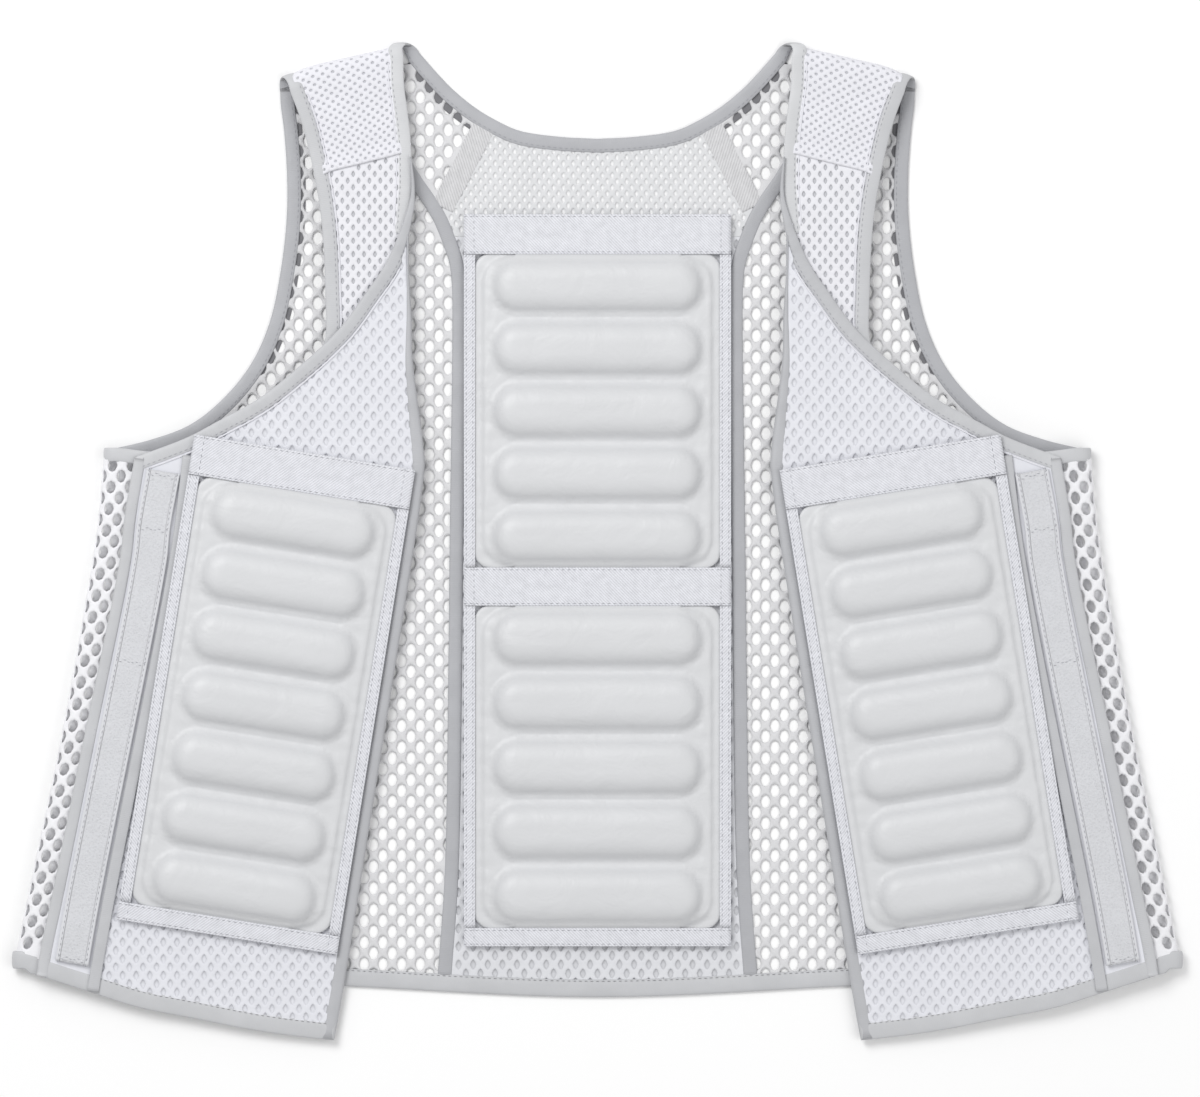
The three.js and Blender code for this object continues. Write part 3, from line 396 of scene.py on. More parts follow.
def lattice(outline, pitch, hole, wall, edge, pointed=1.0, through=True, closed=None):
    """Cloth with staggered holes inside an outline: places of its points, their heights and its faces.

    pitch is the distance across and between rows, hole its width and height, wall the cloth's thickness
    and edge the rounding at the rim of a hole.
    pointed is 1 for oval holes and more for diamonds. Without through, the holes are dimples with a floor.
    No hole comes near the outline, nor lies where closed(points) is true. The third column of the places
    is 1 on the floor of a dimple and 0 elsewhere.
    """
    cell = honeycomb(*pitch)
    sides = len(cell)
    turn = np.arctan2(cell[:, 1] / cell[:, 1].max(), cell[:, 0] / cell[:, 0].max())
    cos, sin = np.cos(turn), np.sin(turn)
    rim = np.column_stack([hole[0] / 2 * np.sign(cos) * np.abs(cos) ** pointed,
                           hole[1] / 2 * np.sign(sin) * np.abs(sin) ** pointed])
    lip = rim * (1 + 2 * edge / np.array(hole))
    low, high = outline.min(axis=0), outline.max(axis=0)
    rows = np.arange(math.floor(low[1] / pitch[1]) - 1, math.ceil(high[1] / pitch[1]) + 2)
    columns = np.arange(math.floor(low[0] / pitch[0]) - 1, math.ceil(high[0] / pitch[0]) + 2)
    middles = np.array([((i + (j % 2) / 2) * pitch[0], j * pitch[1]) for j in rows for i in columns])
    inside, _ = reach((middles[:, None] + cell).reshape(-1, 2), outline)
    middles = middles[(inside.reshape(-1, sides) > 0.05).any(axis=1)]

    corners = (middles[:, None] + cell).reshape(-1, 2)
    _, first, corner_of = np.unique(np.round(corners * 50).astype(int), axis=0, return_index=True,
                                    return_inverse=True)
    corners = corners[first]
    inside, nearest = reach(corners, outline)
    corners = np.where(inside[:, None] < 0, nearest, corners)
    ring = corner_of.reshape(-1, sides)

    inside, _ = reach((middles[:, None] + lip).reshape(-1, 2), outline)
    open_cell = (inside.reshape(-1, sides) > 0.5).all(axis=1)
    if closed is not None:
        open_cell &= ~closed(middles)
    centres = middles[open_cell]
    lips = (centres[:, None] + lip).reshape(-1, 2)
    rims = (centres[:, None] + rim).reshape(-1, 2)
    inside, nearest = reach(middles, outline)
    middles = np.where(inside[:, None] < 0, nearest, middles)[~open_cell]

    deep = -wall / 2 if through else -wall / 5
    parts = [(corners, wall / 2, 0), (corners, -wall / 2, 0), (lips, wall / 2 - edge / 4, 0),
             (rims, wall / 2 - edge, 0), (rims, deep, 0 if through else 1),
             (middles, wall / 2, 0), (middles, -wall / 2, 0)]
    if not through:
        parts += [(centres, deep, 1), (centres, -wall / 2, 0)]
    starts = np.cumsum([0, *(len(places) for places, _, _ in parts)])
    places = np.vstack([np.column_stack([plan, np.full(len(plan), hollow)]) for plan, _, hollow in parts])
    heights = np.concatenate([np.full(len(plan), height) for plan, height, _ in parts])

    def around(group, spot_ring):
        base = spot_ring + starts[group]
        return base, np.roll(base, -1, axis=1)

    holed, plain = ring[open_cell], ring[~open_cell]
    hole_ring = np.arange(len(rims)).reshape(-1, sides)
    rings = [around(0, holed), around(2, hole_ring), around(3, hole_ring), around(4, hole_ring)]
    if through:
        rings.append(around(1, holed))
    quads = [np.stack([outer, outer_next, inner_next, inner], axis=2)
             for (outer, outer_next), (inner, inner_next) in zip(rings, rings[1:])]

    def fans(group, edge, count, upward):
        here, following = edge
        middle = np.repeat(np.arange(count)[:, None], sides, axis=1) + starts[group]
        return np.stack([here, following, middle] if upward else [following, here, middle], axis=2)

    triangles = [fans(5, around(0, plain), len(middles), True),
                 fans(6, around(1, plain), len(middles), False)]
    if not through:
        triangles += [fans(7, rings[3], len(centres), True),
                      fans(8, around(1, holed), len(centres), False)]
    edges = np.stack([ring, np.roll(ring, -1, axis=1)], axis=2).reshape(-1, 2)
    codes = edges[:, 0] * len(corners) + edges[:, 1]
    back = edges[:, 1] * len(corners) + edges[:, 0]
    rest = edges[~np.isin(codes, back)]
    lower = starts[1]
    quads.append(np.stack([rest[:, 0], rest[:, 0] + lower, rest[:, 1] + lower, rest[:, 1]], axis=1))
    faces = [face for group in [*quads, *triangles] for face in group.reshape(-1, group.shape[-1]).tolist()]
    return places, heights, faces


def patch(outline, step):
    """A plain sheet of square cells inside an outline: its places, its faces and its border."""
    low, high = outline.min(axis=0), outline.max(axis=0)
    columns = np.linspace(low[0], high[0], max(2, round((high[0] - low[0]) / step)) + 1)
    rows = np.linspace(low[1], high[1], max(2, round((high[1] - low[1]) / step)) + 1)
    places = np.array([(x, y) for y in rows for x in columns])
    inside, nearest = reach(places, outline)
    wide = len(columns)
    cells = [(j * wide + i, j * wide + i + 1, (j + 1) * wide + i + 1, (j + 1) * wide + i)
             for j in range(len(rows) - 1) for i in range(wide - 1)]
    cells = [cell for cell in cells if (inside[list(cell)] > 0.01).any()]
    used = sorted({corner for cell in cells for corner in cell})
    number = {corner: i for i, corner in enumerate(used)}
    places = np.where(inside[:, None] < 0, nearest, places)[used]
    faces = [[number[corner] for corner in cell] for cell in cells]
    edges = [(face[i], face[(i + 1) % 4]) for face in faces for i in range(4)]
    known = set(edges)
    border = [(a, b) for a, b in edges if (b, a) not in known]
    return places, faces, border


def filled(outline, step, top):
    """A closed body over an outline, from its flat underside to a height given as a function of x and y."""
    places, faces, border = patch(outline, step)
    following = dict(border)
    loop = [border[0][0]]
    while len(loop) < len(border):
        loop.append(following[loop[-1]])
    foot = {spot: len(places) + i for i, spot in enumerate(loop)}
    x, y = places.T
    under = np.column_stack([places[loop], np.zeros(len(loop))])
    points = np.vstack([np.column_stack([x, y, top(x, y)]), under])
    walls = [[a, foot[a], foot[b], b] for a, b in border]
    lay = np.column_stack([points[:, :2], np.zeros(len(points))])
    return points, [*faces, *walls, [foot[spot] for spot in loop[::-1]]], lay


# Tapes

def stations(line, height, inward):
    """Places along a line of the plan, and the way across it: inward is 1 to the left of travel."""
    ahead = np.vstack([line[1:], line[-1:]])[:, :2]
    behind = np.vstack([line[:1], line[:-1]])[:, :2]
    along = ahead - behind
    along /= np.maximum(np.linalg.norm(along, axis=1), 1e-9)[:, None]
    at = np.column_stack([line[:, :2], height(line[:, 0], line[:, 1])])
    across = np.column_stack([-along[:, 1] * inward, along[:, 0] * inward, np.zeros(len(line))])
    return at, across


def half_turn(start, end, tip, across):
    """Stations of a half turn from one layer to the other, which bulges out to a tip."""
    steps = 14
    angles = (np.arange(1, steps) / steps - 0.5) * math.pi
    bulge = np.array([tip[0] - (start[0] + end[0]) / 2, tip[1] - (start[1] + end[1]) / 2, 0])
    share = (1 + np.sin(angles)) / 2
    at = start + share[:, None] * (end - start) + np.cos(angles)[:, None] * bulge
    return at, np.repeat(np.array([across], dtype=float), len(at), axis=0)


def swept(route, width, thickness, squareness, shares=None, ring=False, sides=16, wave=0.0, inside=0.0):
    """A soft tape along stations: its points, faces and pattern places along and across it.

    squareness is 2 for a round section and more for one with square corners, shares are those of the
    width at each station, and wave is how much the thickness swells and sinks along the tape.
    The third column of the pattern places is inside: the share of painted shade on the tape, drawn as its
    darker inner face showing.
    """
    at, across = route
    ahead = np.roll(at, -1, axis=0)
    behind = np.roll(at, 1, axis=0)
    if not ring:
        ahead[-1], behind[0] = at[-1], at[0]
    along = ahead - behind
    along /= np.maximum(np.linalg.norm(along, axis=1), 1e-9)[:, None]
    upward = np.cross(along, across)
    upward /= np.maximum(np.linalg.norm(upward, axis=1), 1e-9)[:, None]
    shares = np.ones(len(at)) if shares is None else np.array(shares)
    angle = (np.arange(sides) / sides - 0.25 + 0.5 / sides) * 2 * math.pi
    power = 2 / squareness
    flat = np.sign(np.cos(angle)) * np.abs(np.cos(angle)) ** power
    tall = np.sign(np.sin(angle)) * np.abs(np.sin(angle)) ** power
    length = np.concatenate([[0], np.cumsum(np.linalg.norm(np.diff(at, axis=0), axis=1))])
    swell = 1 + wave * np.sin(length / 5.5) + wave * 0.7 * np.sin(length / 3.1 + 1.7)
    reach_out = (1 + flat[None, :]) / 2 * (width * shares)[:, None]
    points = (at[:, None] + across[:, None] * reach_out[..., None]
              + upward[:, None] * (tall[None, :] * (thickness / 2 * swell)[:, None])[..., None])
    count = len(at)
    number = np.arange(count * sides).reshape(count, sides)
    following = np.roll(number, -1, axis=0)
    spans = count if ring else count - 1
    quads = np.stack([number, following, np.roll(following, -1, axis=1), np.roll(number, -1, axis=1)],
                     axis=2)[:spans].reshape(-1, 4)
    if upward[:, 2].mean() < 0 or np.cross(along, across)[:, 2].mean() < 0:
        quads = quads[:, ::-1]
    faces = quads.tolist()
    if not ring:
        faces += [number[0].tolist(), number[-1][::-1].tolist()]
    along_tape = np.repeat(length[:, None], sides, axis=1)
    # Painted shade: each point carries the tape's share of shade
    darker = np.repeat(np.broadcast_to(inside, count)[:, None], sides, axis=1)
    lay = np.stack([along_tape, reach_out, darker], axis=2).reshape(-1, 3)
    return points.reshape(-1, 3), faces, lay


def shifted(route, distance):
    """Stations moved across, so that a tape given by its middle starts at its edge."""
    at, across = route
    return at + across * distance, across


def joined(*routes):
    """Several stretches of stations as one."""
    return np.vstack([at for at, _ in routes]), np.vstack([across for _, across in routes])


def level_at(height):
    """The height of what lies level, as a function of the place."""
    return lambda x, y: 0 * x + height


def over_front(lift):
    """The height of what follows the middle of the front layer, as a function of the place."""
    return lambda x, y: front_height(x, y) + lift


on_floor = level_at(BACK_MIDDLE)
on_flap = over_front(FLAP_LIFT)

UNDERARM = spots(SIDE_EDGE[:1])[0]
UNDERARM_TUCK = UNDERARM - (SIDE_ROLL, 0)
SIDE_HEM = spots(FRONT_HEM[-1:])[0]
ROLL_FOOT = SIDE_ROLL + ROLL_SEAM


def armhole_route():
    """The binding round the armhole: back edge, turn under the arm, front edge, turn over the shoulder."""
    back = stations(trace(ARMHOLE_BACK, 90, after=[UNDERARM_TUCK]), on_floor, -1)
    front = stations(trace(ARMHOLE_FRONT, 100, before=[UNDERARM_TUCK]), front_height, 1)
    top = trace(SHOULDER, 3)
    along = (top[-1] - top[0]) / np.linalg.norm(top[-1] - top[0])
    return joined(
        back, half_turn(back[0][-1], front[0][0], UNDERARM, (0, -1, 0)),
        front, half_turn(front[0][-1], back[0][0], top[0] + (3, 0), (along[0], along[1], 0)))


def neck_route():
    """The binding round the neck, from one front edge over the back of the neck to the other."""
    back = stations(trace(NECK_BACK, 60), on_floor, -1)
    front = stations(trace(NECK_FRONT, 50), front_height, 1)
    tip = spots(SHOULDER[-1:])[0]
    at, across = joined(back, half_turn(back[0][-1], front[0][0], tip, front[1][0]), front)
    mirror = np.array([-1, 1, 1])
    return np.vstack([at[:0:-1] * mirror, at]), np.vstack([across[:0:-1] * mirror, across])


def front_hem_route():
    """The binding on the front's hem, which starts on the floor behind the side roll."""
    line = trace(FRONT_HEM, 60)
    line[-1] = SIDE_HEM - (SIDE_ROLL, 0)
    line = line[line[:, 0] <= SIDE_HEM[0] - SIDE_ROLL]
    front = stations(line, front_height, 1)
    front = (front[0][::-1], front[1][::-1])
    feet = np.array([(SIDE_HEM[0] - ROLL_FOOT, SIDE_HEM[1], BACK_MIDDLE),
                     (SIDE_HEM[0] - SIDE_ROLL, SIDE_HEM[1], BACK_MIDDLE)])
    up = np.array([(0, 1, 0), (0, 1, 0)], dtype=float)
    return joined((feet, up), half_turn(feet[1], front[0][0], SIDE_HEM, (0, 1, 0)), front)


def back_hem_half():
    """The back's hem from the centre line, which it crosses level, to the side."""
    line = trace(BACK_HEM, 90, before=[spots(BACK_HEM)[1] * (-1, 1)])
    line = line[line[:, 0] > 0.5]
    return np.vstack([(0, line[0, 1]), line])


def back_hem_line():
    """The back's hem from side to side, between the two side rolls."""
    half = back_hem_half()
    end = SIDE_HEM[0] - ROLL_FOOT - GAP
    half = np.vstack([half[half[:, 0] < end], (end, SIDE_HEM[1])])
    return np.vstack([half[:0:-1] * (-1, 1), half])


def fold_line():
    """The fold from the neck to the hem, with the share of the width that shows."""
    upper = smooth(spots(FOLD_UPPER), 60)
    lower = smooth(spots(FOLD_LOWER), 60)
    return np.vstack([upper, lower[1:]])


# Finished pieces

def finished(name, points, faces, material, nodes, sign, lay):
    """A piece made of points in millimetres, in place of its nodes of the frame."""
    places = np.array(points, dtype=float) * MM
    if sign < 0:
        places[:, 0] *= -1
        faces = [face[::-1] for face in faces]
    mesh = bpy.data.meshes.new(name)
    mesh.from_pydata(places.tolist(), [], faces)
    pattern = mesh.attributes.new("lay", "FLOAT_VECTOR", "POINT")
    pattern.data.foreach_set("vector", (np.array(lay) * (MM, MM, 1)).astype(np.float32).ravel())
    form = bmesh.new()
    form.from_mesh(mesh)
    bmesh.ops.remove_doubles(form, verts=form.verts, dist=2e-5)
    bmesh.ops.dissolve_degenerate(form, edges=form.edges, dist=1e-5)
    form.to_mesh(mesh)
    form.free()
    mesh.materials.append(material)
    mesh.shade_smooth()
    piece = bpy.data.objects.new(name, mesh)
    bpy.context.collection.objects.link(piece)
    return dressed(piece, nodes)


def dressed(piece, nodes):
    """The piece rides on the vest and stands for its nodes, which are hidden."""
    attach(piece, "root")
    if nodes:
        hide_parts(*nodes)
    return piece


def sizes():
    return bpy.context.scene.vest_sizes


def in_mm(values):
    return tuple(value / MM for value in values)


def flat_cloth(outline, faces, places):
    width, length = (outline.max(axis=0) - outline.min(axis=0)) * MM
    area = 0.0
    for face in faces:
        corners = places[face]
        following = np.roll(corners, -1, axis=0)
        turn = (corners[:, 0] * following[:, 1] - corners[:, 1] * following[:, 0]).sum() / 2
        area += max(turn, 0)
    area = min(area * MM * MM, width * length)


# Materials

def add(tree, kind, settings=None, **inputs):
    """Adds a node with its settings, and sets or links its inputs by name."""
    node = tree.nodes.new(kind)
    for key, value in (settings or {}).items():
        setattr(node, key, value)
    for key, value in inputs.items():
        socket = node.inputs[int(key[1:]) if key[1:].isdigit() else key.replace("_", " ")]
        if isinstance(value, bpy.types.NodeSocket):
            tree.links.new(value, socket)
        else:
            socket.default_value = value
    return node


def ridges(pitch_mm):
    """The scale of a wave pattern whose ridges lie so many millimetres apart."""
    return math.pi / 10 / (pitch_mm * MM)


def patches(width_mm):
    """The scale of a noise or cell pattern whose patches are so many millimetres wide."""
    return 1 / (width_mm * MM)


def started(name, colour, roughness, **shader):
    """A material with a Principled shader, its node tree and its shader."""
    material = bpy.data.materials.new(name)
    material.use_nodes = True
    material.diffuse_color = (*colour, 1)
    tree = material.node_tree
    principled = tree.nodes["Principled BSDF"]
    principled.inputs["Base Color"].default_value = (*colour, 1)
    principled.inputs["Roughness"].default_value = roughness
    for key, value in shader.items():
        principled.inputs[key.replace("_", " ")].default_value = value
    return material, tree, principled


def laid_out(tree):
    """The pattern places of a piece, and the third of them: the share of a dimple's floor, or of a binding's
    painted shade.
    """
    lay = add(tree, "ShaderNodeAttribute", {"attribute_name": "lay"}).outputs["Vector"]
    third = add(tree, "ShaderNodeSeparateXYZ", Vector=lay).outputs["Z"]
    return lay, third


def mottled(tree, principled, colour, source, patch_mm, depth):
    """Uneven colour: soft patches a little darker than the colour given."""
    darker = tuple(c * (1 - depth) for c in colour)
    uneven = add(tree, "ShaderNodeTexNoise", Vector=source, Scale=patches(patch_mm), Detail=3.0)
    mixed = add(tree, "ShaderNodeMix", {"data_type": "RGBA"}, _0=uneven.outputs["Fac"],
                _6=(*darker, 1), _7=(*colour, 1))
    tree.links.new(mixed.outputs[2], principled.inputs["Base Color"])


def shaded(tree, principled, colour, other, share, source, patch_mm, depth):
    """Two colours mixed by a share, with soft patches a little darker than the cloth."""
    mixed = add(tree, "ShaderNodeMix", {"data_type": "RGBA"}, _0=share, _6=(*colour, 1), _7=(*other, 1))
    uneven = add(tree, "ShaderNodeTexNoise", Vector=source, Scale=patches(patch_mm), Detail=3.0)
    dull = add(tree, "ShaderNodeMapRange", _0=uneven.outputs["Fac"], _1=0.3, _2=0.7, _3=1 - depth, _4=1.0)
    level = add(tree, "ShaderNodeVectorMath", {"operation": "SCALE"}, _0=mixed.outputs[2],
                Scale=dull.outputs["Result"])
    tree.links.new(level.outputs["Vector"], principled.inputs["Base Color"])


def bumped(tree, principled, height, depth_mm):
    """Relief of a pattern, with its depth in millimetres."""
    bump = add(tree, "ShaderNodeBump", Strength=1.0, Distance=depth_mm * MM, Height=height)
    tree.links.new(bump.outputs["Normal"], principled.inputs["Normal"])


def knitted(name, colour, hollow, loop_mm, depth_mm):
    """Knitted polyester: small loops in both directions give the strands a soft grain and a faint sheen.

    hollow is the colour at the bottom of its dimples: the layer behind that shows through, with painted shade
    where it is darker than the cloth.
    """
    material, tree, principled = started(name, colour, 0.82, Sheen_Weight=0.1, Sheen_Roughness=0.5)
    lay, third = laid_out(tree)
    across, along = (add(tree, "ShaderNodeTexWave", {"bands_direction": way}, Vector=lay,
                         Scale=ridges(loop_mm), Distortion=1.5, Detail=1.0, Detail_Scale=2.0)
                     for way in "XY")
    loops = add(tree, "ShaderNodeMath", {"operation": "MULTIPLY"}, _0=across.outputs["Fac"],
                _1=along.outputs["Fac"])
    bumped(tree, principled, loops.outputs[0], depth_mm)
    shaded(tree, principled, colour, hollow, third, lay, 16.7, 0.05)
    return material


def satin_binding(name, colour, inner):
    """Folded polyester satin tape: smooth and faintly glossy, with shallow puckers at its stitches. The
    colour inner is painted shade, mixed in by each point's share of shade.
    """
    material, tree, principled = started(name, colour, 0.5, Sheen_Weight=0.1, Sheen_Roughness=0.4)
    lay, third = laid_out(tree)
    ribs = add(tree, "ShaderNodeTexWave", {"bands_direction": "X"}, Vector=lay, Scale=ridges(1.1),
               Distortion=0.5, Detail=1.0, Detail_Scale=1.0)
    puckers = add(tree, "ShaderNodeTexNoise", Vector=lay, Scale=patches(14.3), Detail=2.0)
    relief = add(tree, "ShaderNodeMath", {"operation": "MULTIPLY_ADD"}, _0=puckers.outputs["Fac"], _1=14.0,
                 _2=ribs.outputs["Fac"])
    bumped(tree, principled, relief.outputs[0], 0.05)
    # Painted shade: the tape darkens towards inner by its share of shade
    shaded(tree, principled, colour, inner, third, lay, 22.2, 0.07)
    return material


def twill_tape(name, colour, rib_mm, depth_mm):
    """Woven polyester twill tape: fine slanting ribs, with painted shade a little darker between them."""
    material, tree, principled = started(name, colour, 0.75, Sheen_Weight=0.12, Sheen_Roughness=0.4)
    lay, _ = laid_out(tree)
    ribs = add(tree, "ShaderNodeTexWave", {"bands_direction": "DIAGONAL"}, Vector=lay,
               Scale=ridges(rib_mm), Distortion=1.2, Detail=2.0, Detail_Scale=2.0)
    threads = add(tree, "ShaderNodeTexNoise", Vector=lay, Scale=patches(1.11), Detail=3.0, Roughness=0.7)
    relief = add(tree, "ShaderNodeMath", {"operation": "ADD"}, _0=ribs.outputs["Fac"],
                 _1=threads.outputs["Fac"])
    bumped(tree, principled, relief.outputs[0], depth_mm)
    # Painted shade: the tape darkens where its relief is low, between the ribs
    darker = tuple(0.74 * c for c in colour)
    groove_shade = add(tree, "ShaderNodeMath", {"operation": "SUBTRACT", "use_clamp": True}, _0=1.25,
                _1=relief.outputs[0])
    shaded(tree, principled, colour, darker, groove_shade.outputs[0], lay, 4.76, 0.11)
    return material


def looped_pile(name, colour):
    """Napped loop side of hook-and-loop tape: a short fuzzy pile between two smooth woven edges, its colour
    uneven at random and darker where the pile is low, as painted shade.
    """
    material, tree, principled = started(name, colour, 0.95, Sheen_Weight=0.3, Sheen_Roughness=0.7)
    lay, _ = laid_out(tree)
    side = add(tree, "ShaderNodeSeparateXYZ", Vector=lay).outputs["Y"]
    off_middle = add(tree, "ShaderNodeMath", {"operation": "SUBTRACT"}, _0=side, _1=HOOK_WIDTH / 2 * MM)
    away = add(tree, "ShaderNodeMath", {"operation": "ABSOLUTE"}, _0=off_middle.outputs[0])
    pile = add(tree, "ShaderNodeMapRange", _0=away.outputs[0], _1=(HOOK_WIDTH / 2 - 2.2) * MM,
               _2=(HOOK_WIDTH / 2 - 2.8) * MM, _3=0.0, _4=1.0).outputs["Result"]
    tufts = add(tree, "ShaderNodeTexVoronoi", Vector=lay, Scale=patches(1.3), Randomness=1.0)
    hairs = add(tree, "ShaderNodeTexNoise", Vector=lay, Scale=patches(0.9), Detail=4.0, Roughness=0.7)
    fuzz = add(tree, "ShaderNodeMath", {"operation": "ADD"}, _0=tufts.outputs["Distance"],
               _1=hairs.outputs["Fac"]).outputs[0]
    raised = add(tree, "ShaderNodeMath", {"operation": "MULTIPLY_ADD"}, _0=fuzz, _1=pile, _2=pile)
    bumped(tree, principled, raised.outputs[0], 0.4)
    # Random tone of the pile, and painted shade where it is low: the colour darkens as the fuzz that raises
    # the pile falls
    darker = tuple(0.84 * c for c in colour)
    shaded(tree, principled, darker, colour, fuzz, lay, 22.2, 0.05)
    return material


def gel_film(name, colour):
    """Nylon film over frozen gel: milky and satin, with fine creases that run out from the welds."""
    material, tree, principled = started(name, colour, 0.44, IOR=1.5)
    place = add(tree, "ShaderNodeTexCoord").outputs["Object"]
    creases = add(tree, "ShaderNodeTexNoise", Vector=place, Scale=patches(22.2), Detail=5.0,
                  Roughness=0.55, Distortion=0.8)
    grain = add(tree, "ShaderNodeTexNoise", Vector=place, Scale=patches(2.38), Detail=2.0)
    relief = add(tree, "ShaderNodeMath", {"operation": "MULTIPLY_ADD"}, _0=grain.outputs["Fac"], _1=0.1,
                 _2=creases.outputs["Fac"])
    bumped(tree, principled, relief.outputs[0], 1.0)
    mottled(tree, principled, colour, place, 38.5, 0.06)
    return material


def sewing_thread(name, colour):
    """Spun polyester thread: matt, with the twist too fine to show."""
    material, tree, principled = started(name, colour, 0.6)
    place = add(tree, "ShaderNodeTexCoord").outputs["Object"]
    mottled(tree, principled, colour, place, 2.5, 0.12)
    return material


def studio_floor(name):
    """Painted board of the studio table: matt white, with a very faint unevenness."""
    colour = linear("#fbfbfb")
    material, tree, principled = started(name, colour, 0.9, Specular_IOR_Level=0.1)
    place = add(tree, "ShaderNodeTexCoord").outputs["Object"]
    mottled(tree, principled, colour, place, 500, 0.01)
    return material


# Finishes: the maker and name of the material, the colours of the panel that it takes, and its other values
FINISHES = {
    "net": (knitted, "knitted_polyester_net", ["net", "net"], [0.9, 0.08]),
    "inner_net": (knitted, "knitted_net_inner_face", ["inner_net", "inner_net"], [0.9, 0.08]),
    "mesh": (knitted, "diamond_polyester_mesh", ["mesh", "mesh_hole_shade"], [0.7, 0.08]),
    "flap_mesh": (knitted, "diamond_mesh_inner_face", ["flap_mesh", "flap_hollow"], [0.7, 0.08]),
    "back_mesh": (knitted, "diamond_mesh_of_the_back", ["back_mesh", "back_hole_shade"], [0.7, 0.08]),
    "back_yoke": (knitted, "double_mesh_of_the_back", ["back_yoke", "back_yoke_hollow"], [0.7, 0.08]),
    "yoke": (knitted, "fine_spacer_mesh", ["yoke", "yoke_hollow"], [0.6, 0.06]),
    "band": (twill_tape, "woven_yoke_band", ["band"], [1.1, 0.12]),
    "tape": (twill_tape, "woven_twill_tape", ["tape"], [0.95, 0.15]),
    "binding": (satin_binding, "folded_satin_binding", ["binding", "binding_inner"], []),
    "outer_leg": (satin_binding, "outer_leg_of_binding", ["outer_leg", "outer_leg"], []),
    "hook": (looped_pile, "hook_and_loop_pile", ["hook"], []),
    "pack": (gel_film, "nylon_film_over_gel", ["pack"], []),
    "thread": (sewing_thread, "spun_polyester_thread", ["thread"], []),
    "hem_thread": (sewing_thread, "darker_polyester_thread", ["hem_thread"], []),
    "floor": (studio_floor, "painted_white_board", [], []),
}
MATERIALS = {}


def finish_of(key):
    """The material of a finish, made once from the chosen colours."""
    if key not in MATERIALS:
        maker, name, shades, values = FINISHES[key]
        colours = bpy.context.scene.vest_colours
        MATERIALS[key] = maker(name, *(tuple(getattr(colours, shade)) for shade in shades), *values)
    return MATERIALS[key]


# Panels

def net_weave(openness=1.0):
    """The open net: oval holes right through."""
    hole = np.array(in_mm(sizes().net_hole)) * openness
    return {"pitch": in_mm(sizes().net_pitch), "hole": tuple(hole), "wall": 0.8 * CLOTH, "edge": NET_EDGE}


def mesh_weave(closed, coarseness=1.0, openness=1.0):
    """The diamond mesh, drawn with dimples where another layer lies close behind it; their floors carry that
    layer with painted shade.
    """
    pitch, hole = (np.array(in_mm(values)) * coarseness
                   for values in (sizes().mesh_pitch, sizes().mesh_hole))
    return {"pitch": tuple(pitch), "hole": tuple(hole * openness), "wall": 0.7 * CLOTH, "edge": MESH_EDGE,
            "pointed": 1.35, "through": False, "closed": closed}


def yoke_weave():
    """The fine mesh of the yokes: small round dimples."""
    pitch, hole = sizes().yoke_pitch / MM, sizes().yoke_hole / MM
    return {"pitch": (pitch, pitch * 0.62), "hole": (hole, hole * 1.3), "wall": 0.7 * CLOTH,
            "edge": YOKE_EDGE, "through": False}


def level_cloth(node, outline, weave, height, finish, sign, suffix="cloth"):
    """A panel that lies level or on the sloping front layer, in place of its node."""
    places, heights, faces = lattice(outline, **weave)
    x, y = places[:, :2].T
    points = np.column_stack([x, y, height(x, y) + heights])
    piece = finished(f"{node}_{suffix}", points, faces, finish_of(finish), [node], sign, places)
    flat_cloth(outline, faces, places)
    return piece


def inset(outline, distance):
    """The outline moved inwards, so that the cloth ends inside its binding."""
    signed = (outline[:, 0] * np.roll(outline[:, 1], -1) - outline[:, 1] * np.roll(outline[:, 0], -1)).sum()
    line = outline if signed > 0 else outline[::-1]
    along = np.roll(line, -1, axis=0) - np.roll(line, 1, axis=0)
    along /= np.maximum(np.linalg.norm(along, axis=1), 1e-9)[:, None]
    return line + np.column_stack([-along[:, 1], along[:, 0]]) * distance


def cleaned(points):
    """The points of an outline without those that repeat the one before."""
    gap = 0.4
    kept = [points[0]]
    for point in points[1:]:
        if np.linalg.norm(point - kept[-1]) > gap:
            kept.append(point)
    if np.linalg.norm(kept[0] - kept[-1]) <= gap:
        kept.pop()
    return np.array(kept)


def side_span(distance):
    """The side's outer edge, moved towards the centre."""
    return trace(SIDE_EDGE, 30) - (distance, 0)


def back_net_outline():
    seam = trace(BACK_SEAM, 60) - (SEAM_TUCK, 0)
    foot = side_span(ROLL_FOOT)
    hem = back_hem_half()[::-1]
    hem = hem[(hem[:, 0] > seam[0, 0]) & (hem[:, 0] < foot[-1, 0])]
    shoulder = trace(SHOULDER, 16)[::-1]
    shoulder = shoulder - (0, SHOULDER_ROLL + ROLL_SEAM * 0.4)
    arm = trace(ARMHOLE_BACK, 60)
    arm = arm[arm[:, 1] < shoulder[-1, 1] - 2]
    return cleaned(np.vstack([seam[:-4], shoulder[1:], arm, foot, hem]))


def yoke_net_outline():
    seam = trace(BACK_SEAM, 60) + (SEAM_TUCK, 0)
    start, end = spots(YOKE_BAND)
    seam = seam[(seam[:, 1] > end[1]) & (seam[:, 1] < spots(SHOULDER)[-1, 1] - 9)]
    neck = trace(NECK_BACK, 40)[::-1]
    neck = neck[(neck[:, 0] > start[0]) & (neck[:, 1] < spots(SHOULDER)[-1, 1] - 9)]
    return cleaned(np.vstack([seam, neck, [start, end]]))


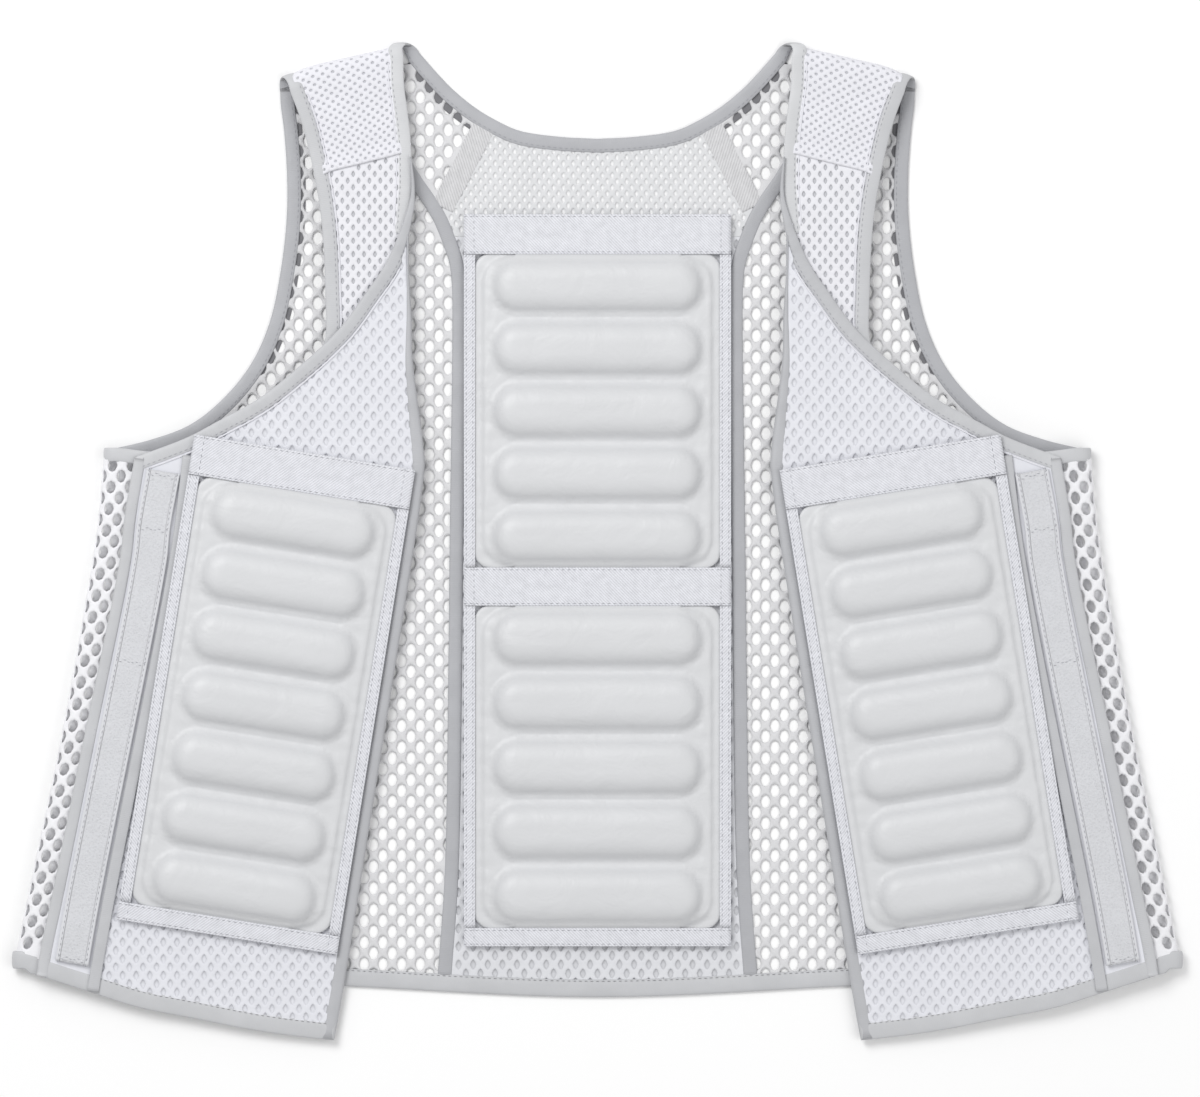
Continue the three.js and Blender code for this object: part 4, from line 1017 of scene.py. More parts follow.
def centre_outlines():
    """The middle of the back, both halves: below the packs' top tape, and the yoke above it."""
    seam = trace(BACK_SEAM, 60)
    start, end = spots(YOKE_BAND)
    hem = back_hem_half()
    neck = trace(NECK_BACK, 40)[::-1]
    pocket, _, height, _ = pocket_box("back_upper")
    cut = pocket[1] + (height + TOP_TAPE) / 2
    corner = (np.interp(cut, seam[:, 1], seam[:, 0]), cut)
    lower = np.vstack([hem[hem[:, 0] < seam[0, 0]], seam[seam[:, 1] < cut - 1], corner, (0, cut)])
    upper = np.vstack([(0, cut - 3), (corner[0], cut - 3), seam[(seam[:, 1] > cut) & (seam[:, 1] < end[1])],
                       [end], neck[neck[:, 0] < start[0]]])
    return [cleaned(np.vstack([half, half[::-1][1:-1] * (-1, 1)])) for half in (lower, upper)]


def strap_outline():
    """The front panel: strap from the yoke seam to the flap, and the layer under the flap."""
    arm = trace(ARMHOLE_FRONT, 70)
    outer, inner = spots(YOKE_SEAM)
    arm = arm[(arm[:, 1] < outer[1] + STRAP_TUCK) & (arm[:, 0] < UNDERARM[0] - SIDE_NET_WIDTH)]
    neck = trace(NECK_FRONT, 40)
    neck = neck[neck[:, 1] < inner[1] + STRAP_TUCK]
    hem = trace(FRONT_HEM, 40)
    net = side_span(SIDE_NET_WIDTH)[::-1]
    hem = hem[hem[:, 0] < net[0, 0]]
    return cleaned(np.vstack([arm, neck, fold_line()[:, :2], hem[1:], net]))


def flap_outline():
    neck = trace(FLAP_NECK, 50)[::-1]
    return cleaned(np.vstack([
        fold_line()[:, :2], trace(FLAP_HEM, 30)[1:], trace(FLAP_EDGE, 40)[::-1][1:], neck[1:]]))


def pocket_box(name):
    """Middle, width and height of a pocket's opening in millimetres, and its turn in radians."""
    pocket = POCKETS[name]
    middle = spots([pocket["middle"]])[0]
    return middle, pocket["size"][0] * HALF_WIDTH, pocket["size"][1] * LENGTH, math.radians(pocket["turn"])


def turned(points, middle, turn):
    """Points of a pocket's own plan, turned and moved to its place on the vest."""
    cos, sin = math.cos(turn), math.sin(turn)
    x, y = points[:, 0], points[:, 1]
    return np.column_stack([middle[0] + x * cos - y * sin, middle[1] + x * sin + y * cos])


def under_pack(points):
    """Whether points lie well under the flap's pack."""
    middle, width, height, turn = pocket_box("flap")
    own = turned(points - middle, (0, 0), -turn)
    return (np.abs(own[:, 0]) < width / 2) & (np.abs(own[:, 1]) < height / 2)


def plain_on_flap(points):
    """Whether points lie under the flap's pack or on the plain facing under the hook-and-loop strip."""
    seam = trace(FLAP_SEAM, 60)[::-1]
    return under_pack(points) | (points[:, 0] > np.interp(points[:, 1], seam[:, 1], seam[:, 0]))


def under_flap(points):
    """Whether points of the front layer lie well under the flap."""
    edge = trace(FLAP_NECK, 60)
    return points[:, 1] < np.interp(points[:, 0], edge[:, 0], edge[:, 1]) - BINDING_WIDTH


def under_back_packs(points):
    """Whether points of the back lie well under its packs and their tapes."""
    low, width, low_height, _ = pocket_box("back_lower")
    high, _, high_height, _ = pocket_box("back_upper")
    return ((np.abs(points[:, 0]) < width / 2 + SIDE_TAPE - 3) & (points[:, 1] > low[1] - low_height / 2 - 3)
            & (points[:, 1] < high[1] + high_height / 2 + TOP_TAPE - 3))


class VEST_OT_back(bpy.types.Operator):
    """Makes the panels of the back: middle mesh, open nets, yoke nets and diagonal bands"""

    bl_idname = "vest.back_panels"
    bl_label = "Back panels"

    def execute(self, context):
        lying = level_at(CLOTH / 2)

        def panel(node, outline, weave, finish, sign=1, suffix="cloth"):
            level_cloth(node, inset(outline, BACK_INSET), weave, lying, finish, sign,
                        suffix)

        middle, yoke = centre_outlines()
        panel("back_center_panel", middle, mesh_weave(under_back_packs, 1.35, 1.2), "back_mesh")
        panel("back_center_panel", yoke, mesh_weave(under_back_packs, 0.9, 1.15), "back_yoke",
              suffix="yoke_cloth")
        for side, sign in SIDES.items():
            panel(f"back_net_{side}", back_net_outline(), net_weave(1.06), "inner_net", sign)
            panel(f"yoke_net_{side}", yoke_net_outline(), net_weave(1.06), "inner_net", sign)
            line = smooth(spots(YOKE_BAND), 40)
            route = shifted(stations(line, lying, 1), -BAND_WIDTH / 2)
            points, faces, lay = swept(route, BAND_WIDTH, CLOTH, squareness=6)
            finished(f"yoke_band_{side}_tape", points, faces, finish_of("band"),
                     [f"yoke_band_{side}"], sign, lay)
        return {"FINISHED"}


def rolled(front_width, roll, tip_line, heading):
    """A function that lays places of a flat panel round a roll at its outer edge.

    u runs from the front seam to the roll's foot on the floor, and v along the roll's tip line.
    """
    turn_length = math.pi * (roll + SIDE_HEIGHT / 2) / 2

    def lay(u, v):
        tip = tip_line(v)
        crest = tip - heading(v) * roll
        top = front_height(crest[:, 0], crest[:, 1])
        flat = np.clip(u / front_width, 0, 1)
        angle = (np.clip((u - front_width) / turn_length, 0, 1) - 0.5) * math.pi
        foot = np.clip(u - front_width - turn_length, 0, ROLL_SEAM)
        back_off = (1 - flat) * front_width + foot
        plan = crest - heading(v) * back_off[:, None] + heading(v) * (np.cos(angle) * roll)[:, None]
        level = front_height(plan[:, 0], plan[:, 1])
        drop = (1 + np.sin(angle)) / 2
        height = np.where(u < front_width, level, top + (CLOTH / 2 - top) * drop)
        return np.column_stack([plan, height])

    return lay, front_width + turn_length + ROLL_SEAM


def rolled_cloth(node, outline, weave, lay, slot, sign):
    """A panel that goes round a roll, with its thickness across the surface, in place of its node."""
    places, heights, faces = lattice(outline, **weave)
    u, v = places[:, :2].T
    step = 0.05
    at = lay(u, v)
    along_u = lay(u + step, v) - lay(u - step, v)
    along_v = lay(u, v + step) - lay(u, v - step)
    normal = np.cross(along_u, along_v)
    normal /= np.maximum(np.linalg.norm(normal, axis=1), 1e-9)[:, None]
    points = at + normal * heights[:, None]
    piece = finished(f"{node}_cloth", points, faces, finish_of(slot), [node], sign, places)
    flat_cloth(outline, faces, places)
    return piece


class VEST_OT_front(bpy.types.Operator):
    """Makes the panels of the front: shoulder yokes, side nets, straps and folded flaps"""

    bl_idname = "vest.front_panels"
    bl_label = "Front panels"

    def execute(self, context):
        for side, sign in SIDES.items():
            self.side_net(side, sign)
            self.yoke(side, sign)
            level_cloth(f"front_panel_{side}", inset(strap_outline(), STRAP_INSET), mesh_weave(under_flap),
                        front_height, "mesh", sign)
            level_cloth(f"front_flap_{side}", inset(flap_outline(), FLAP_INSET),
                        mesh_weave(plain_on_flap, 1.25, 1.2), on_flap, "flap_mesh", sign)
        return {"FINISHED"}

    def side_net(self, side, sign):
        edge = trace(SIDE_EDGE, 60)
        order = edge[::-1]
        low, high = order[0, 1] + BINDING_WIDTH / 2, order[-1, 1] - BINDING_WIDTH / 2

        def tip(v):
            return np.column_stack([np.interp(v, order[:, 1], order[:, 0]), v])

        def outward(v):
            return np.column_stack([np.ones(len(v)), np.zeros(len(v))])

        lay, length = rolled(SIDE_NET_WIDTH - SIDE_ROLL, SIDE_ROLL, tip, outward)
        outline = np.array([(0, low), (length, low), (length, high), (0, high)])
        rolled_cloth(f"side_net_{side}", outline, net_weave(), lay, "net", sign)

    def yoke(self, side, sign):
        outer, inner = spots(YOKE_SEAM)
        tops = trace(SHOULDER, 60)
        width = np.linalg.norm(tops[-1] - tops[0])

        def tip(v):
            share = np.clip(v / width, 0, 1) * (len(tops) - 1)
            rank = np.arange(len(tops))
            return np.column_stack([np.interp(share, rank, tops[:, 0]), np.interp(share, rank, tops[:, 1])])

        def upward(v):
            share = np.clip(v / width, 0, 1)[:, None]
            away = tip(v) - (outer + share * (inner - outer))
            return away / np.linalg.norm(away, axis=1)[:, None]

        depth = np.linalg.norm(tip(np.array([width / 2]))[0] - (outer + inner) / 2) - SHOULDER_ROLL
        level, length = rolled(depth, SHOULDER_ROLL, tip, upward)

        def lay(u, v):
            off_sides = eased(np.minimum(v, width - v), BINDING_WIDTH - 2, BINDING_WIDTH + 1)
            rise = SEAM_LAP * (1 - eased(u, 2, 9)) * off_sides
            return level(u, v) + np.column_stack([0 * u, 0 * u, rise])

        edge = 0.045 * width
        outline = np.array([(0, edge), (length, edge), (length, width - edge), (0, width - edge)])
        rolled_cloth(f"shoulder_yoke_{side}", outline, yoke_weave(), lay, "yoke", sign)


class VEST_OT_bindings(bpy.types.Operator):
    """Makes the folded bindings on the edges, hems, seams and folds"""

    bl_idname = "vest.bindings"
    bl_label = "Bindings"

    def execute(self, context):
        # inside is each binding's share of painted shade, drawn as its darker inner face
        neck = neck_route()
        self.tape("neck_binding", neck, 1, inside=binding_shade_share(neck, LEAST_SHADE_SHOWN["neck"]))
        route = stations(back_hem_line(), level_at(BACK_MIDDLE + OVER_HEM / 2), 1)
        self.tape("hem_binding_back", route, 1, HEM_WIDTH, BINDING + OVER_HEM, inside=SHADE_SHOWN["back_hem"])
        fold = fold_line()
        arm = armhole_route()
        for side, sign in SIDES.items():
            self.tape(f"armhole_binding_{side}", arm, sign, ring=True,
                      inside=binding_shade_share(arm, LEAST_SHADE_SHOWN["armhole"]))
            self.tape(f"hem_binding_front_{side}", front_hem_route(), sign, HEM_WIDTH,
                      inside=SHADE_SHOWN["front_hem"])
            start = spots(FLAP_NECK_START)
            line = trace(FLAP_NECK[1:], 150, before=start[:3, :2])
            shown = np.interp(-line[:, 1], -start[:, 1], start[:, 2], right=1)
            # Painted shade on the flap's neck binding: from 0.8 where it starts to 0.35 at its end
            self.tape(f"flap_neck_binding_{side}", stations(line, on_flap, -1), sign, shares=shown,
                      inside=np.linspace(0.8, 0.35, len(line)))
            self.tape(f"flap_edge_binding_{side}", stations(trace(FLAP_EDGE, 130), on_flap, -1), sign,
                      FRONT_BINDING_WIDTH, BINDING + OVER_HEM, inside=SHADE_SHOWN["flap_edge"])
            self.tape(f"flap_hem_binding_{side}", stations(trace(FLAP_HEM, 90), on_flap, 1), sign,
                      HEM_WIDTH, inside=SHADE_SHOWN["front_hem"])
            route = stations(fold, over_front(FLAP_LIFT / 2), 1)
            self.tape(f"flap_fold_binding_{side}", route, sign, thickness=BINDING + FLAP_LIFT + OVER_HEM,
                      shares=fold[:, 2], inside=SHADE_SHOWN["fold"])
            seam = trace(BACK_SEAM, 150)[:-6]
            route = stations(seam[seam[:, 1] > seam[0, 1] + HEM_WIDTH - 5], on_floor, 1)
            # The back's seam binding lies fully in painted shade
            self.tape(f"back_seam_binding_{side}", shifted(route, -BINDING_WIDTH / 2), sign, inside=1)
            seam = trace(FLAP_SEAM, 120, after=[spots(SEAM_FOOT)[0]])
            route = stations(seam, over_front(ON_FLAP + TAPE_THICKNESS / 2), 1)
            self.tape(f"flap_seam_binding_{side}", shifted(route, -FRONT_BINDING_WIDTH / 2), sign,
                      FRONT_BINDING_WIDTH, thickness=TAPE_THICKNESS, inside=SHADE_SHOWN["flap_seam"])
            # Dark strips of painted shadow under the net beside the back's armhole and neck bindings
            self.outer_leg(f"armhole_binding_{side}", trace(ARMHOLE_BACK, 90), 2.6, sign)
            self.outer_leg(f"neck_binding_{side}", trace(NECK_BACK, 60)[30:], 4.2, sign)
        return {"FINISHED"}

    def outer_leg(self, name, line, wider, sign):
        """The wider leg of a binding on the vest's outer face, dark with painted shadow: it shows through the
        holes of the net.
        """
        route = stations(line, level_at(OUTER_LEG / 2), -1)
        points, faces, lay = swept(shifted(route, BINDING_WIDTH - 1), wider + 1, OUTER_LEG, squareness=6,
                                   sides=8)
        finished(f"{name}_outer_leg", points, faces, finish_of("outer_leg"), [], sign, lay)

    def tape(self, node, route, sign, width=BINDING_WIDTH, thickness=BINDING, shares=None, ring=False,
             inside=0.0):
        points, faces, lay = swept(route, width, thickness, 2.35, shares, ring, wave=0.04, inside=inside)
        finished(f"{node}_tape", points, faces, finish_of("binding"), [node], sign, lay)


def binding_shade_share(route, least_shade):
    """How much painted shade lies on a binding, drawn as its darker inner face: all of it on the back, the
    least on the raised front.
    """
    return 1 - (1 - least_shade) * eased(route[0][:, 2], 2.5, 6.5)


def flap_tapes():
    """Plans of the tapes round a flap's pocket in its own plan, as name: (middle, size)."""
    _, width, height, _ = pocket_box("flap")
    wide = width + 2 * SIDE_TAPE
    return {
        "top": ((0, (height + TOP_TAPE) / 2), (wide, TOP_TAPE)),
        "bottom": ((0, -(height + BOTTOM_TAPE) / 2), (wide, BOTTOM_TAPE)),
        "inner": ((-(width + SIDE_TAPE) / 2, 0), (SIDE_TAPE, height - 2 * GAP)),
        "outer": (((width + SIDE_TAPE) / 2, 0), (SIDE_TAPE, height - 2 * GAP)),
    }


def back_pockets():
    """Width of the back's pockets, height of the upper and the lower one, and how far up each lies."""
    upper, width, high, _ = pocket_box("back_upper")
    _, _, low, _ = pocket_box("back_lower")
    return width, high, low, upper[1], upper[1] - (high + low) / 2 - MIDDLE_TAPE


def back_tapes(clearance):
    """Plans of the tapes round the back's pockets, as name: (middle, size).

    The upright tapes keep a clearance to the cross tapes.
    """
    width, high, low, upper_y, lower_y = back_pockets()
    wide = width + 2 * SIDE_TAPE
    tapes = {
        "top_tape": ((0, upper_y + (high + TOP_TAPE) / 2), (wide, TOP_TAPE)),
        "middle_tape": ((0, upper_y - (high + MIDDLE_TAPE) / 2), (wide, MIDDLE_TAPE)),
        "bottom_tape": ((0, lower_y - (low + BOTTOM_TAPE) / 2), (wide, BOTTOM_TAPE)),
    }
    for side, sign in SIDES.items():
        x = sign * (width + SIDE_TAPE) / 2
        tapes[f"upper_tape_{side}"] = ((x, upper_y), (SIDE_TAPE, high - 2 * clearance))
        tapes[f"lower_tape_{side}"] = ((x, lower_y), (SIDE_TAPE, low - 2 * clearance))
    return tapes


def flat_tape(node, middle, size, place, sign):
    """A straight tape in a pocket's own plan, laid by place(points)."""
    breadth = min(size)
    way = (1, 0) if size[0] > breadth else (0, 1)
    line = np.array(middle) + np.linspace(-0.5, 0.5, 60)[:, None] * max(size) * np.array(way)
    route = shifted(stations(line, level_at(0), 1), -breadth / 2)
    points, faces, lay = swept(route, breadth, TAPE_THICKNESS, squareness=7, wave=0.08)
    return finished(f"{node}_woven", place(points), faces, finish_of("tape"), [node], sign, lay)


class VEST_OT_pockets(bpy.types.Operator):
    """Makes the tapes round the pockets of the back and of the flaps"""

    bl_idname = "vest.pocket_tapes"
    bl_label = "Pocket tapes"

    def execute(self, context):
        lifted = PACK_FLANGE + GAP + TAPE_THICKNESS / 2

        def on_back(points):
            return points + (0, 0, ON_BACK + lifted)

        for name, (middle, size) in back_tapes(GAP).items():
            flat_tape(f"back_pocket_{name}", middle, size, on_back, 1)
        centre, _, _, turn = pocket_box("flap")

        def on_flap_top(points):
            plan = turned(points, centre, turn)
            z = front_height(*plan.T) + ON_FLAP + lifted + points[:, 2]
            return np.column_stack([plan, z])

        for side, sign in SIDES.items():
            for place, (middle, size) in flap_tapes().items():
                flat_tape(f"flap_pocket_{place}_tape_{side}", middle, size, on_flap_top, sign)
        return {"FINISHED"}


def rounded_box(width, height, radius):
    """A rectangle with round corners, anticlockwise."""
    turns = np.linspace(0, math.pi / 2, 8)
    corners = [(width / 2 - radius, height / 2 - radius, 0), (radius - width / 2, height / 2 - radius, 1),
               (radius - width / 2, radius - height / 2, 2), (width / 2 - radius, radius - height / 2, 3)]
    return np.vstack([
        np.column_stack([x + radius * np.cos(turns + quarter * math.pi / 2),
                         y + radius * np.sin(turns + quarter * math.pi / 2)])
        for x, y, quarter in corners])


def box_depth(x, y, width, height, radius):
    """How far inside a rectangle with round corners each place lies."""
    over_x = np.abs(x) - (width / 2 - radius)
    over_y = np.abs(y) - (height / 2 - radius)
    outside = np.hypot(np.maximum(over_x, 0), np.maximum(over_y, 0))
    return radius - outside - np.minimum(np.maximum(over_x, over_y), 0)


def eased(value, start, end):
    """0 before start, 1 after end, and a soft step between."""
    share = np.clip((value - start) / (end - start), 0, 1)
    return share * share * (3 - 2 * share)


def pack_surface(width, height, bars, phase):
    """The height of a pack over its underside, in its own plan: flange, tray, weld rings and bars."""
    pitch = height / bars
    bar_width, bar_length = pitch - BAR_SPACE * 0.75, width - 2 * BAR_MARGIN
    round_end = bar_width / 2 - 0.8
    full = width + 2 * TAPE_LAP

    def top(x, y):
        edge = box_depth(x, y, full, height + 2 * TAPE_LAP, PACK_CORNER)
        tray = box_depth(x, y, width - 2 * TRAY_MARGIN, height - TRAY_MARGIN, PACK_CORNER)
        level = PACK_FLANGE * (0.55 + 0.45 * eased(edge, 0, 1))
        level = level + (PACK_TRAY - PACK_FLANGE) * eased(tray, -2.0, 1.5)
        crease = ripple(x, y, 17, 1.0, phase) + 0.6 * ripple(y, x, 9, 1.0, 2 * phase)
        level = level + 0.35 * crease * eased(edge, 1, 6)
        for i in range(bars):
            middle = (i - (bars - 1) / 2) * pitch
            inside = box_depth(x, y - middle, bar_length, bar_width, round_end)
            share = np.clip((inside - RING) / (bar_width / 2 - RING), 0, 1)
            crown = (1 - (1 - share) ** 3) ** 0.75
            rise = RING_HEIGHT * eased(inside, -0.4, 0.6)
            swell = (PACK_HEIGHT - PACK_TRAY - RING_HEIGHT + 0.4) * crown
            dent = 0.3 * ripple(x, y, 37, 1.0, phase + i) * share
            level = np.where(inside > -0.6, np.maximum(level, PACK_TRAY - 0.4 + rise + swell + dent), level)
        return np.minimum(level, PACK_HEIGHT)

    return top


class VEST_OT_packs(bpy.types.Operator):
    """Makes the gel packs of the back and of the flaps"""

    bl_idname = "vest.gel_packs"
    bl_label = "Gel packs"

    def execute(self, context):
        width, high, low, upper_y, lower_y = back_pockets()
        for name, y, height in (("upper", upper_y, high), ("lower", lower_y, low)):
            self.pack(f"back_pack_{name}", (0, y), width, height, 0, POCKETS[f"back_{name}"]["bars"], 1,
                      level_at(ON_BACK))
        for side, sign in SIDES.items():
            self.pack(f"front_pack_{side}", *pocket_box("flap"), POCKETS["flap"]["bars"], sign,
                      over_front(ON_FLAP))
        return {"FINISHED"}

    def pack(self, node, middle, width, height, turn, bars, sign, base):
        outline = rounded_box(width + 2 * TAPE_LAP, height + 2 * TAPE_LAP, PACK_CORNER)
        top = pack_surface(width, height, bars, phase=len(node) + middle[1])
        points, faces, lay = filled(outline, FILM_STEP, top)
        plan = turned(points, middle, turn)
        points = np.column_stack([plan, base(*plan.T) + points[:, 2]])
        piece = finished(f"{node}_film", points, faces, finish_of("pack"), [node], sign, lay)


class VEST_OT_hook(bpy.types.Operator):
    """Makes the hook-and-loop strips on the flaps' front edges"""

    bl_idname = "vest.hook_strips"
    bl_label = "Hook-and-loop strips"

    def execute(self, context):
        route = stations(smooth(spots(HOOK_STRIP), 150), over_front(ON_FLAP + HOOK_THICKNESS / 2), 1)
        points, faces, lay = swept(shifted(route, -HOOK_WIDTH / 2), HOOK_WIDTH, HOOK_THICKNESS,
                                   squareness=7, sides=24)
        for side, sign in SIDES.items():
            nodes = [f"hook_strip_{side}_{i}" for i in (1, 2, 3)]
            finished(f"hook_strip_{side}_pile", points, faces, finish_of("hook"), nodes, sign, lay)
        return {"FINISHED"}


# Sewing

def stitch_tree():
    """A node tree that lays stitches along the lines of a mesh of edges."""
    tree = bpy.data.node_groups.new("stitches", "GeometryNodeTree")
    face = tree.interface
    face.new_socket("Geometry", in_out="INPUT", socket_type="NodeSocketGeometry")
    for name, value in (("Spacing", 0.0034), ("Length", 0.0024), ("Thickness", 0.0005)):
        socket = face.new_socket(name, in_out="INPUT", socket_type="NodeSocketFloat")
        socket.default_value = value
    face.new_socket("Material", in_out="INPUT", socket_type="NodeSocketMaterial")
    face.new_socket("Geometry", in_out="OUTPUT", socket_type="NodeSocketGeometry")
    given = add(tree, "NodeGroupInput").outputs
    curve = add(tree, "GeometryNodeMeshToCurve", Mesh=given["Geometry"])
    spaced = add(tree, "GeometryNodeResampleCurve", {"mode": "LENGTH"}, Curve=curve.outputs["Curve"],
                 Length=given["Spacing"])
    bead = add(tree, "GeometryNodeMeshUVSphere", Segments=4, Rings=3, Radius=0.5)
    shape = add(tree, "ShaderNodeCombineXYZ", X=given["Length"], Y=given["Thickness"],
                Z=given["Thickness"])
    stitch = add(tree, "GeometryNodeTransform", Geometry=bead.outputs["Mesh"], Scale=shape.outputs[0])
    tangent = add(tree, "GeometryNodeInputTangent")
    heading = add(tree, "FunctionNodeAlignRotationToVector", {"axis": "X"}, Vector=tangent.outputs[0])
    placed = add(tree, "GeometryNodeInstanceOnPoints", Points=spaced.outputs["Curve"],
                 Instance=stitch.outputs["Geometry"], Rotation=heading.outputs["Rotation"])
    real = add(tree, "GeometryNodeRealizeInstances", Geometry=placed.outputs["Instances"])
    coloured = add(tree, "GeometryNodeSetMaterial", Geometry=real.outputs["Geometry"],
                   Material=given["Material"])
    add(tree, "NodeGroupOutput", Geometry=coloured.outputs["Geometry"])
    return tree


def sewn(name, lines, tree, sign, thread="thread"):
    """Stitches along lines of points in millimetres, as one piece."""
    points = np.vstack(lines) * MM * (sign, 1, 1)
    edges = []
    start = 0
    for line in lines:
        edges += [(start + i, start + i + 1) for i in range(len(line) - 1)]
        start += len(line)
    mesh = bpy.data.meshes.new(name)
    mesh.from_pydata(points.tolist(), edges, [])
    guide = bpy.data.objects.new(name + "_lines", mesh)
    bpy.context.collection.objects.link(guide)
    modifier = guide.modifiers.new("stitches", "NODES")
    modifier.node_group = tree
    chosen = {"Spacing": sizes().stitch_spacing, "Length": sizes().stitch_length,
              "Thickness": sizes().thread, "Material": finish_of(thread)}
    for item in tree.interface.items_tree:
        if item.item_type == "SOCKET" and item.in_out == "INPUT" and item.name in chosen:
            modifier[item.identifier] = chosen[item.name]
    guide.update_tag()
    graph = bpy.context.evaluated_depsgraph_get()
    made = bpy.data.meshes.new_from_object(guide.evaluated_get(graph))
    bpy.data.objects.remove(guide)
    made.name = name
    made.shade_smooth()
    piece = bpy.data.objects.new(name, made)
    bpy.context.collection.objects.link(piece)
    return dressed(piece, [])


def seam_on(route, distance, lift):
    """A line of sewing on a tape, at a distance from its edge, on its upper face."""
    at, across = route
    line = at + across * distance
    line[:, 2] += lift
    return line


def cord(name, routes, sign):
    """The thin folded edge of the cloth beside its bindings, as one piece of round cords."""
    parts = [swept(shifted(route, BINDING_WIDTH + 0.2), CORD, CORD, squareness=2, sides=6)
             for route in routes]
    starts = np.cumsum([0, *(len(points) for points, _, _ in parts)])
    faces = [[corner + start for corner in face]
             for start, (_, rows, _) in zip(starts, parts) for face in rows]
    points = np.vstack([points for points, _, _ in parts])
    lay = np.vstack([lay for _, _, lay in parts])
    finished(name, points, faces, finish_of("yoke"), [], sign, lay)


class VEST_OT_sewing(bpy.types.Operator):
    """Sews the stitch rows on bindings, tapes and hook-and-loop strips"""

    bl_idname = "vest.sewing"
    bl_label = "Sewing"

    def execute(self, context):
        tree = stitch_tree()
        on_top = BINDING / 2 * 0.86
        inner = BINDING_WIDTH * SEAM_SHARE
        over_cloth = CLOTH * 0.45
        beside_front = over_front(over_cloth)
        sewn("stitches_neck", [seam_on(neck_route(), inner, on_top)], tree, 1)
        hem_row = HEM_WIDTH * HEM_SEAM_SHARE
        hem_line = seam_on(stations(back_hem_line(), on_floor, 1), hem_row, on_top * 0.85 + OVER_HEM)
        sewn("stitches_back_hem", [hem_line], tree, 1, "hem_thread")
        sewn("stitches_back_pockets", self.back_pocket_rows(), tree, 1)
        for side, sign in SIDES.items():
            edges = [
                seam_on(stations(trace(ARMHOLE_FRONT, 100), front_height, 1), inner, on_top),
                seam_on(stations(trace(ARMHOLE_BACK, 90), on_floor, -1), inner, on_top),
                seam_on(stations(trace(FLAP_NECK, 130), on_flap, -1), inner, on_top),
                seam_on(stations(trace(FLAP_EDGE, 90), on_flap, -1), FRONT_BINDING_WIDTH * SEAM_SHARE,
                        on_top),
            ]
            sewn(f"stitches_edges_{side}", edges, tree, sign)
            hem_line = seam_on(stations(trace(FLAP_HEM, 90)[3:-18], on_flap, 1), hem_row, on_top * 0.85)
            sewn(f"stitches_flap_hem_{side}", [hem_line], tree, sign, "hem_thread")
            cord(f"cloth_edges_{side}", [
                stations(trace(ARMHOLE_FRONT, 100)[8:-2], beside_front, 1),
                stations(trace(NECK_FRONT, 50)[2:-2], beside_front, 1),
                stations(trace(FLAP_NECK, 130)[15:-4], over_front(FLAP_LIFT + over_cloth), -1),
            ], sign)
            strip = stations(smooth(spots(HOOK_STRIP), 120), over_front(ON_FLAP + HOOK_THICKNESS), 1)
            edge = HOOK_WIDTH / 2 - HOOK_SEAM
            rows = [seam_on(strip, across, 0.0) for across in (-edge, edge)]
            rows += [self.joint(strip, share) for share in HOOK_JOINTS]
            sewn(f"stitches_hook_strip_{side}", rows, tree, sign)
            sewn(f"stitches_flap_pocket_{side}", self.flap_pocket_rows(), tree, sign)
        return {"FINISHED"}

    def joint(self, strip, share):
        """A zigzag row across the strip, where two lengths of it meet."""
        at, across = strip
        i = int(round(np.clip(share, 0.012, 0.988) * (len(at) - 1)))
        along = (at[i + 1] - at[i - 1]) / np.linalg.norm(at[i + 1] - at[i - 1])
        edge = HOOK_WIDTH / 2 - HOOK_SEAM
        places = np.linspace(-edge, edge, 9)
        return np.array([at[i] + across[i] * place + along * (ZIGZAG if k % 2 else -ZIGZAG)
                         for k, place in enumerate(places)])

    def tape_rows(self, tapes):
        """Rows near the long edges of straight tapes, and across a cross tape where it meets upright ones."""
        rows = []
        for (x, y), (width, height) in tapes.values():
            for edge in (-1, 1):
                column = x + edge * (width / 2 - TAPE_SEAM)
                if width > height:
                    level = y + edge * (height / 2 - TAPE_SEAM)
                    rows.append([(x - width / 2 + 1, level), (x + width / 2 - 1, level)])
                    column = x + edge * (width / 2 - SIDE_TAPE + TAPE_SEAM / 2)
                rows.append([(column, y - height / 2 + 1), (column, y + height / 2 - 1)])
        return [evenly(np.array(row), 30) for row in rows]

    def back_pocket_rows(self):
        top = ON_BACK + PACK_FLANGE + GAP + TAPE_THICKNESS
        return [np.column_stack([row, np.full(len(row), top)]) for row in self.tape_rows(back_tapes(0))]

    def flap_pocket_rows(self):
        centre, _, _, turn = pocket_box("flap")
        top = ON_FLAP + PACK_FLANGE + GAP + TAPE_THICKNESS
        plans = [turned(row, centre, turn) for row in self.tape_rows(flap_tapes())]
        return [np.column_stack([plan, front_height(*plan.T) + top]) for plan in plans]


